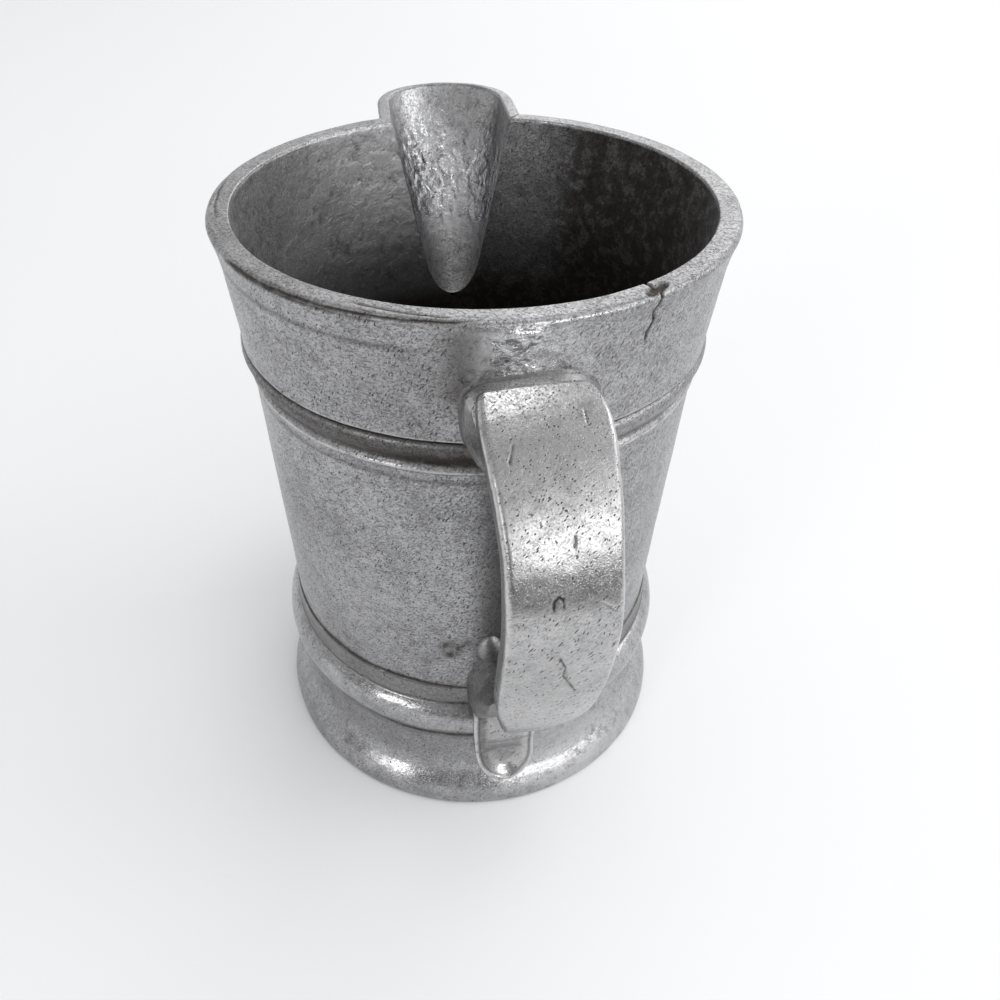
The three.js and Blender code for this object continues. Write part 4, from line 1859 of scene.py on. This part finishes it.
        # Painted shade over the whole lower root.
        flat = np.ones(grid.shape[:2])
        return self._finish("lower_handle_block", grid, 0.8, soil=0.42 * flat, tarnish=0.45 * flat)

    def build_tongue(self) -> bpy.types.Object:
        """Makes the tongue under the strap: a plate with a raised border and a hollow.

        Returns:
            The piece.
        """
        insets = np.concatenate(
            [
                [-0.55, -0.45, -0.25],
                np.linspace(-0.06, 1.0, 12),
                np.linspace(1.15, 3.0, 12),
                np.linspace(3.4, 5.648, 6),
            ]
        )
        length = np.linspace(-1.0, 1.0, 161)
        left = fade(-length, 0.0, 0.2)
        right = fade(length, 0.05, 0.25)
        rows = []
        soil = []
        worn = []
        for inset in insets:
            row = self._tongue_row(inset, length)
            # Painted shade on the hollow's left and a painted highlight on its right; a painted dark line
            # inside the raised border, a painted highlight on the border, painted shadow under the strap's
            # end.
            shade = 0.55 * bell(inset, 1.6, 0.7) * left
            shine = 0.6 * bell(inset, 1.8, 0.7) * right
            edge = 0.6 * bell(inset, 0.9, 0.25)
            rows.append(row)
            soil.append(np.minimum(edge + shade + 0.35 * fade(row[:, 2], 24.0, 32.0), 1.0))
            worn.append(0.8 * bell(inset, 0.3, 0.35) + shine)
        grid = np.stack(rows)
        normal = grid_normals(grid, False, False)
        grid = grid + normal * (0.5 * self.waves.at(grid))[..., None]
        sheets = Sheets()
        sheets.add(grid, soil=np.stack(soil), worn=np.stack(worn))
        outside = self.put(np.array(0.0), np.array(1.0), np.array(0.3))
        return sheets.build("handle_tongue", outside=tuple(outside))

    def _tongue_row(self, inset: float, length: np.ndarray) -> np.ndarray:
        """One line round the tongue, from its upper left over the tip to its upper right.

        Args:
            inset: Distance of the line from the tongue's edge.
            length: Places along the line, from -1 to 1.

        Returns:
            Points of the line.
        """
        half = self.tongue_half - inset
        stretch = (self.tongue_round - inset) / half
        centre = self.tongue_tip + self.tongue_round
        quarter = half * math.pi / 2
        run = length * (quarter + self.tongue_top - centre)
        turn = np.minimum(np.abs(run), quarter) / half
        across = np.sign(run) * half * np.sin(turn)
        up = centre - stretch * half * np.cos(turn) + np.maximum(np.abs(run) - quarter, 0.0)
        lean = np.interp(up, *np.array(self.tongue_lean).T)
        border = self.tongue_border * (1.0 - fade(inset, 0.55, 0.95))
        hollow = self.tongue_hollow * fade(inset, 0.65, 3.2) * (1.0 - fade(up, 8.0, 20.0))
        sink = np.interp(up, *np.array(self.tongue_sink).T) * fade(-inset, 0.0, 0.55)
        out = np.interp(up, *np.array(self.tongue_face).T) + border - hollow - sink
        angle = self.skew + (lean + across) / self.tongue_bend
        return np.stack([out * np.sin(angle), -out * np.cos(angle), up], axis=-1)

    def _drop(self) -> np.ndarray:
        """Points of the drop of solder on the wall above the lower root.

        Returns:
            Rows of closed sections.
        """
        side, height = self.drop_place
        radius = float(self.barrel.outer_radius(height))
        rise = np.radians(np.linspace(-88.0, 88.0, 24))[:, None]
        turn = np.linspace(0.0, 2 * math.pi, 36, endpoint=False)[None]
        wide, deep, tall = self.drop_reach
        across = side + wide * np.cos(rise) * np.cos(turn)
        out = math.sqrt(radius**2 - side**2) + deep * np.cos(rise) * np.sin(turn)
        return capped(self.put(across, out, height + tall * np.sin(rise)))

    def _root_solder(
        self, name: str, section: Outline, leg: float, drop: bool = False
    ) -> bpy.types.Object:
        """Makes the thin solder round a root where it meets the wall.

        Args:
            name: Name of the piece.
            section: Method that gives the root's outline at a distance.
            leg: Width of the solder on each face.
            drop: Whether a drop of solder stands above the root.

        Returns:
            The piece.
        """
        turn = np.linspace(0.0, 2 * math.pi, 180, endpoint=False)
        out = np.full(turn.shape, 37.0)
        for _ in range(6):
            across, up = section(out, turn)
            out = np.sqrt(self.barrel.outer_radius(up) ** 2 - across**2)
        seam = self.put(across, out, up)
        tangent = unit(np.roll(seam, -1, axis=0) - np.roll(seam, 1, axis=0))
        radial = unit(seam * [1.0, 1.0, 0.0])
        away = np.cross(tangent, radial)
        away *= np.sign(np.sum(away * (seam - seam.mean(axis=0)), axis=1, keepdims=True))
        sheets = Sheets()
        grid = fillet(seam, away, radial, leg)
        flat = np.ones(grid.shape[:2])
        sheets.add(grid, round_rows=True, round_columns=True, soil=0.4 * flat, tarnish=0.5 * flat)
        if drop:
            lump = self._drop()
            flat = np.ones(lump.shape[:2])
            sheets.add(lump, round_columns=True, soil=0.1 * flat, tarnish=0.2 * flat)
        return sheets.build(name)

    def build_upper_solder(self) -> bpy.types.Object:
        """Makes the solder round the upper root."""
        return self._root_solder("upper_handle_solder", self._upper_section, self.upper_leg)

    def build_lower_solder(self) -> bpy.types.Object:
        """Makes the solder round the lower root."""
        return self._root_solder("lower_handle_solder", self._lower_section, self.lower_leg, drop=True)


# Studio


@dataclass(frozen=True)
class Lamp:
    """Oblong soft lamp: its place and its width and height in metres, and its power in watts."""

    name: str
    at: tuple[float, float, float]
    size: tuple[float, float]
    power: float


@dataclass
class Studio:
    """Pale floor, soft light and the camera."""

    floor_half: float = 6.0
    floor_colour: Shade = (0.925, 0.93, 0.94, 1.0)
    card_half: float = 1.2
    card_from: float = -4.0
    card_to: float = -0.22
    card_lift: float = 0.001
    card_colour: Shade = (0.2, 0.2, 0.2, 1.0)
    lamps: tuple[Lamp, ...] = (
        Lamp("side lamp", (1.50, -0.10, 1.00), (1.0, 1.0), 7.0),
        Lamp("right window", (0.74, -1.01, 0.41), (1.3, 0.40), 7.6),
        Lamp("left window", (-0.92, -0.90, 0.36), (0.36, 0.40), 3.2),
        Lamp("back lamp", (0.55, 1.10, 0.85), (1.2, 0.9), 3.5),
        Lamp("top lamp", (0.15, -0.10, 1.20), (0.25, 0.25), 0.6),
    )
    lamp_aim: tuple[float, float, float] = (0.0, 0.0, 0.05)
    front_to_back: tuple[float, float] = (-0.45, 0.15)
    left_to_right: tuple[float, float] = (-0.7, 0.7)
    left_share: float = 0.72
    right_share: float = 1.12
    front_levels: tuple[tuple[float, float], ...] = (
        (0.0, 0.32),
        (0.20, 0.34),
        (0.52, 0.55),
        (0.74, 0.74),
        (0.86, 0.55),
        (0.94, 0.80),
    )
    back_levels: tuple[tuple[float, float], ...] = (
        (0.0, 0.95),
        (0.45, 0.95),
        (0.70, 0.70),
        (0.86, 0.65),
        (0.94, 0.95),
    )
    camera_at: tuple[float, float, float] = (-15.36, -126.92, 156.47)
    camera_heading: float = 6.19
    camera_dip: float = 40.98
    camera_lens: float = 30.37
    camera_shift: float = 0.0368

    def build(self) -> None:
        """Sets up everything round the pitcher."""
        self._floor()
        self._world()
        self._card()
        for plan in self.lamps:
            self._lamp(plan)
        self._camera()
        bpy.context.scene.view_settings.view_transform = "Standard"

    @staticmethod
    def _panel(
        name: str, corners: list[tuple[float, float, float]], colour: Shade
    ) -> bpy.types.Object:
        """Makes a flat four-sided panel with a plain material.

        Args:
            name: Name of the panel and its material.
            corners: Its four corners in metres.
            colour: Its colour.

        Returns:
            The panel.
        """
        mesh = bpy.data.meshes.new(name)
        mesh.from_pydata(corners, [], [(0, 1, 2, 3)])
        panel = bpy.data.objects.new(name, mesh)
        bpy.context.scene.collection.objects.link(panel)
        material = bpy.data.materials.new(name)
        ShaderSheet(material).shader.inputs["Base Color"].default_value = colour
        mesh.materials.append(material)
        return panel

    def _floor(self) -> None:
        """Makes the plain floor."""
        half = self.floor_half
        corners = [(-half, -half, 0.0), (half, -half, 0.0), (half, half, 0.0), (-half, half, 0.0)]
        floor = self._panel("floor", corners, self.floor_colour)
        shader = floor.data.materials[0].node_tree.nodes["Principled BSDF"]
        shader.inputs["Roughness"].default_value = 0.85
        shader.inputs["Specular IOR Level"].default_value = 0.2

    def _card(self) -> None:
        """Makes the dark card on the floor in front, which only the metal mirrors."""
        half = self.card_half
        near = (self.card_from, self.card_lift)
        far = (self.card_to, self.card_lift)
        card = self._panel(
            "front card", [(-half, *near), (half, *near), (half, *far), (-half, *far)], self.card_colour
        )
        card.visible_camera = False
        card.visible_diffuse = False
        card.visible_shadow = False
        shader = card.data.materials[0].node_tree.nodes["Principled BSDF"]
        shader.inputs["Roughness"].default_value = 0.9

    def _world(self) -> None:
        """Makes the soft surround: pale behind the pitcher, darker in front, bright overhead."""
        world = bpy.data.worlds.new("surround")
        bpy.context.scene.world = world
        world.use_nodes = True
        tree = world.node_tree
        source = tree.nodes.new("ShaderNodeTexCoord")
        split = tree.nodes.new("ShaderNodeSeparateXYZ")
        tree.links.new(source.outputs["Generated"], split.inputs[0])
        blend = tree.nodes.new("ShaderNodeMix")
        blend.data_type = "RGBA"
        side = self._range(tree, split.outputs["Y"], self.front_to_back)
        side.interpolation_type = "SMOOTHSTEP"
        tree.links.new(side.outputs["Result"], blend.inputs[0])
        for socket, levels in ((6, self.front_levels), (7, self.back_levels)):
            ramp = tree.nodes.new("ShaderNodeValToRGB")
            tree.links.new(split.outputs["Z"], ramp.inputs["Fac"])
            stops = ramp.color_ramp.elements
            while len(stops) < len(levels):
                stops.new(0.5)
            for stop, (position, level) in zip(stops, levels):
                stop.position = position
                stop.color = (level, level, level, 1.0)
            tree.links.new(ramp.outputs["Color"], blend.inputs[socket])
        strength = self._range(tree, split.outputs["X"], self.left_to_right)
        strength.inputs["To Min"].default_value = self.left_share
        strength.inputs["To Max"].default_value = self.right_share
        background = tree.nodes["Background"]
        tree.links.new(blend.outputs[2], background.inputs["Color"])
        tree.links.new(strength.outputs["Result"], background.inputs["Strength"])

    @staticmethod
    def _range(tree: bpy.types.NodeTree, value: Socket, ends: tuple[float, float]) -> bpy.types.Node:
        """Adds a node that maps a value between two ends to a share.

        Args:
            tree: Node tree to add it to.
            value: Value to map.
            ends: Values at which the share is 0 and 1.

        Returns:
            The node.
        """
        node = tree.nodes.new("ShaderNodeMapRange")
        tree.links.new(value, node.inputs["Value"])
        node.inputs["From Min"].default_value, node.inputs["From Max"].default_value = ends
        return node

    def _lamp(self, plan: Lamp) -> None:
        """Makes a lamp that faces the pitcher.

        Args:
            plan: Name, place, size and power of the lamp.
        """
        data = bpy.data.lights.new(plan.name, "AREA")
        data.shape = "RECTANGLE"
        data.size, data.size_y = plan.size
        data.energy = plan.power
        lamp = bpy.data.objects.new(plan.name, data)
        lamp.location = plan.at
        aim = np.array(self.lamp_aim) - np.array(plan.at)
        heading = math.atan2(aim[0], aim[1])
        dip = math.atan2(-aim[2], math.hypot(aim[0], aim[1]))
        lamp.rotation_euler = (math.pi / 2 - dip, 0.0, -heading)
        bpy.context.scene.collection.objects.link(lamp)

    def _camera(self) -> None:
        """Makes the camera at the photo's viewing angle."""
        data = bpy.data.cameras.new("camera")
        data.lens = self.camera_lens
        data.sensor_width = 36.0
        data.shift_x = self.camera_shift
        data.clip_start = 0.005
        camera = bpy.data.objects.new("camera", data)
        camera.location = [value * MM for value in self.camera_at]
        tilt = math.radians(90.0 - self.camera_dip)
        camera.rotation_euler = (tilt, 0.0, -math.radians(self.camera_heading))
        bpy.context.scene.collection.objects.link(camera)
        bpy.context.scene.camera = camera


def main() -> None:
    """Builds the pitcher and its studio."""
    logging.basicConfig(level=logging.INFO, format="%(name)s %(message)s")
    shop = Workshop()
    barrel = Barrel()
    shop.hand_in(barrel.build(), CAST, "barrel")
    spout = Spout(barrel)
    shop.hand_in(spout.build(), CAST, "spout")
    shop.hand_in(spout.build_solder(), SOLDER, "spout_solder")
    foot = Foot()
    shop.hand_in(foot.build_bead(), TURNED, "base_bead")
    shop.hand_in(foot.build_ring(), TURNED, "foot_ring")
    shop.hand_in(foot.build_floor(), CAST, "bottom_disc")
    shop.hand_in(foot.build_floor_solder(), SOLDER, "bottom_solder")
    shop.hand_in(foot.build_foot_solder(), SOLDER, "foot_solder")
    handle = Handle(barrel)
    shop.hand_in(handle.build_strap(), BURNISHED, "handle_strap")
    shop.hand_in(handle.build_upper_block(), BURNISHED, "upper_handle_block")
    shop.hand_in(handle.build_upper_solder(), SOLDER, "upper_handle_solder")
    shop.hand_in(handle.build_lower_block(), BURNISHED, "lower_handle_block")
    shop.hand_in(handle.build_lower_solder(), SOLDER, "lower_handle_solder")
    shop.hand_in(handle.build_tongue(), BURNISHED, "handle_tongue")
    Studio().build()


if __name__ == "__main__":
    main()
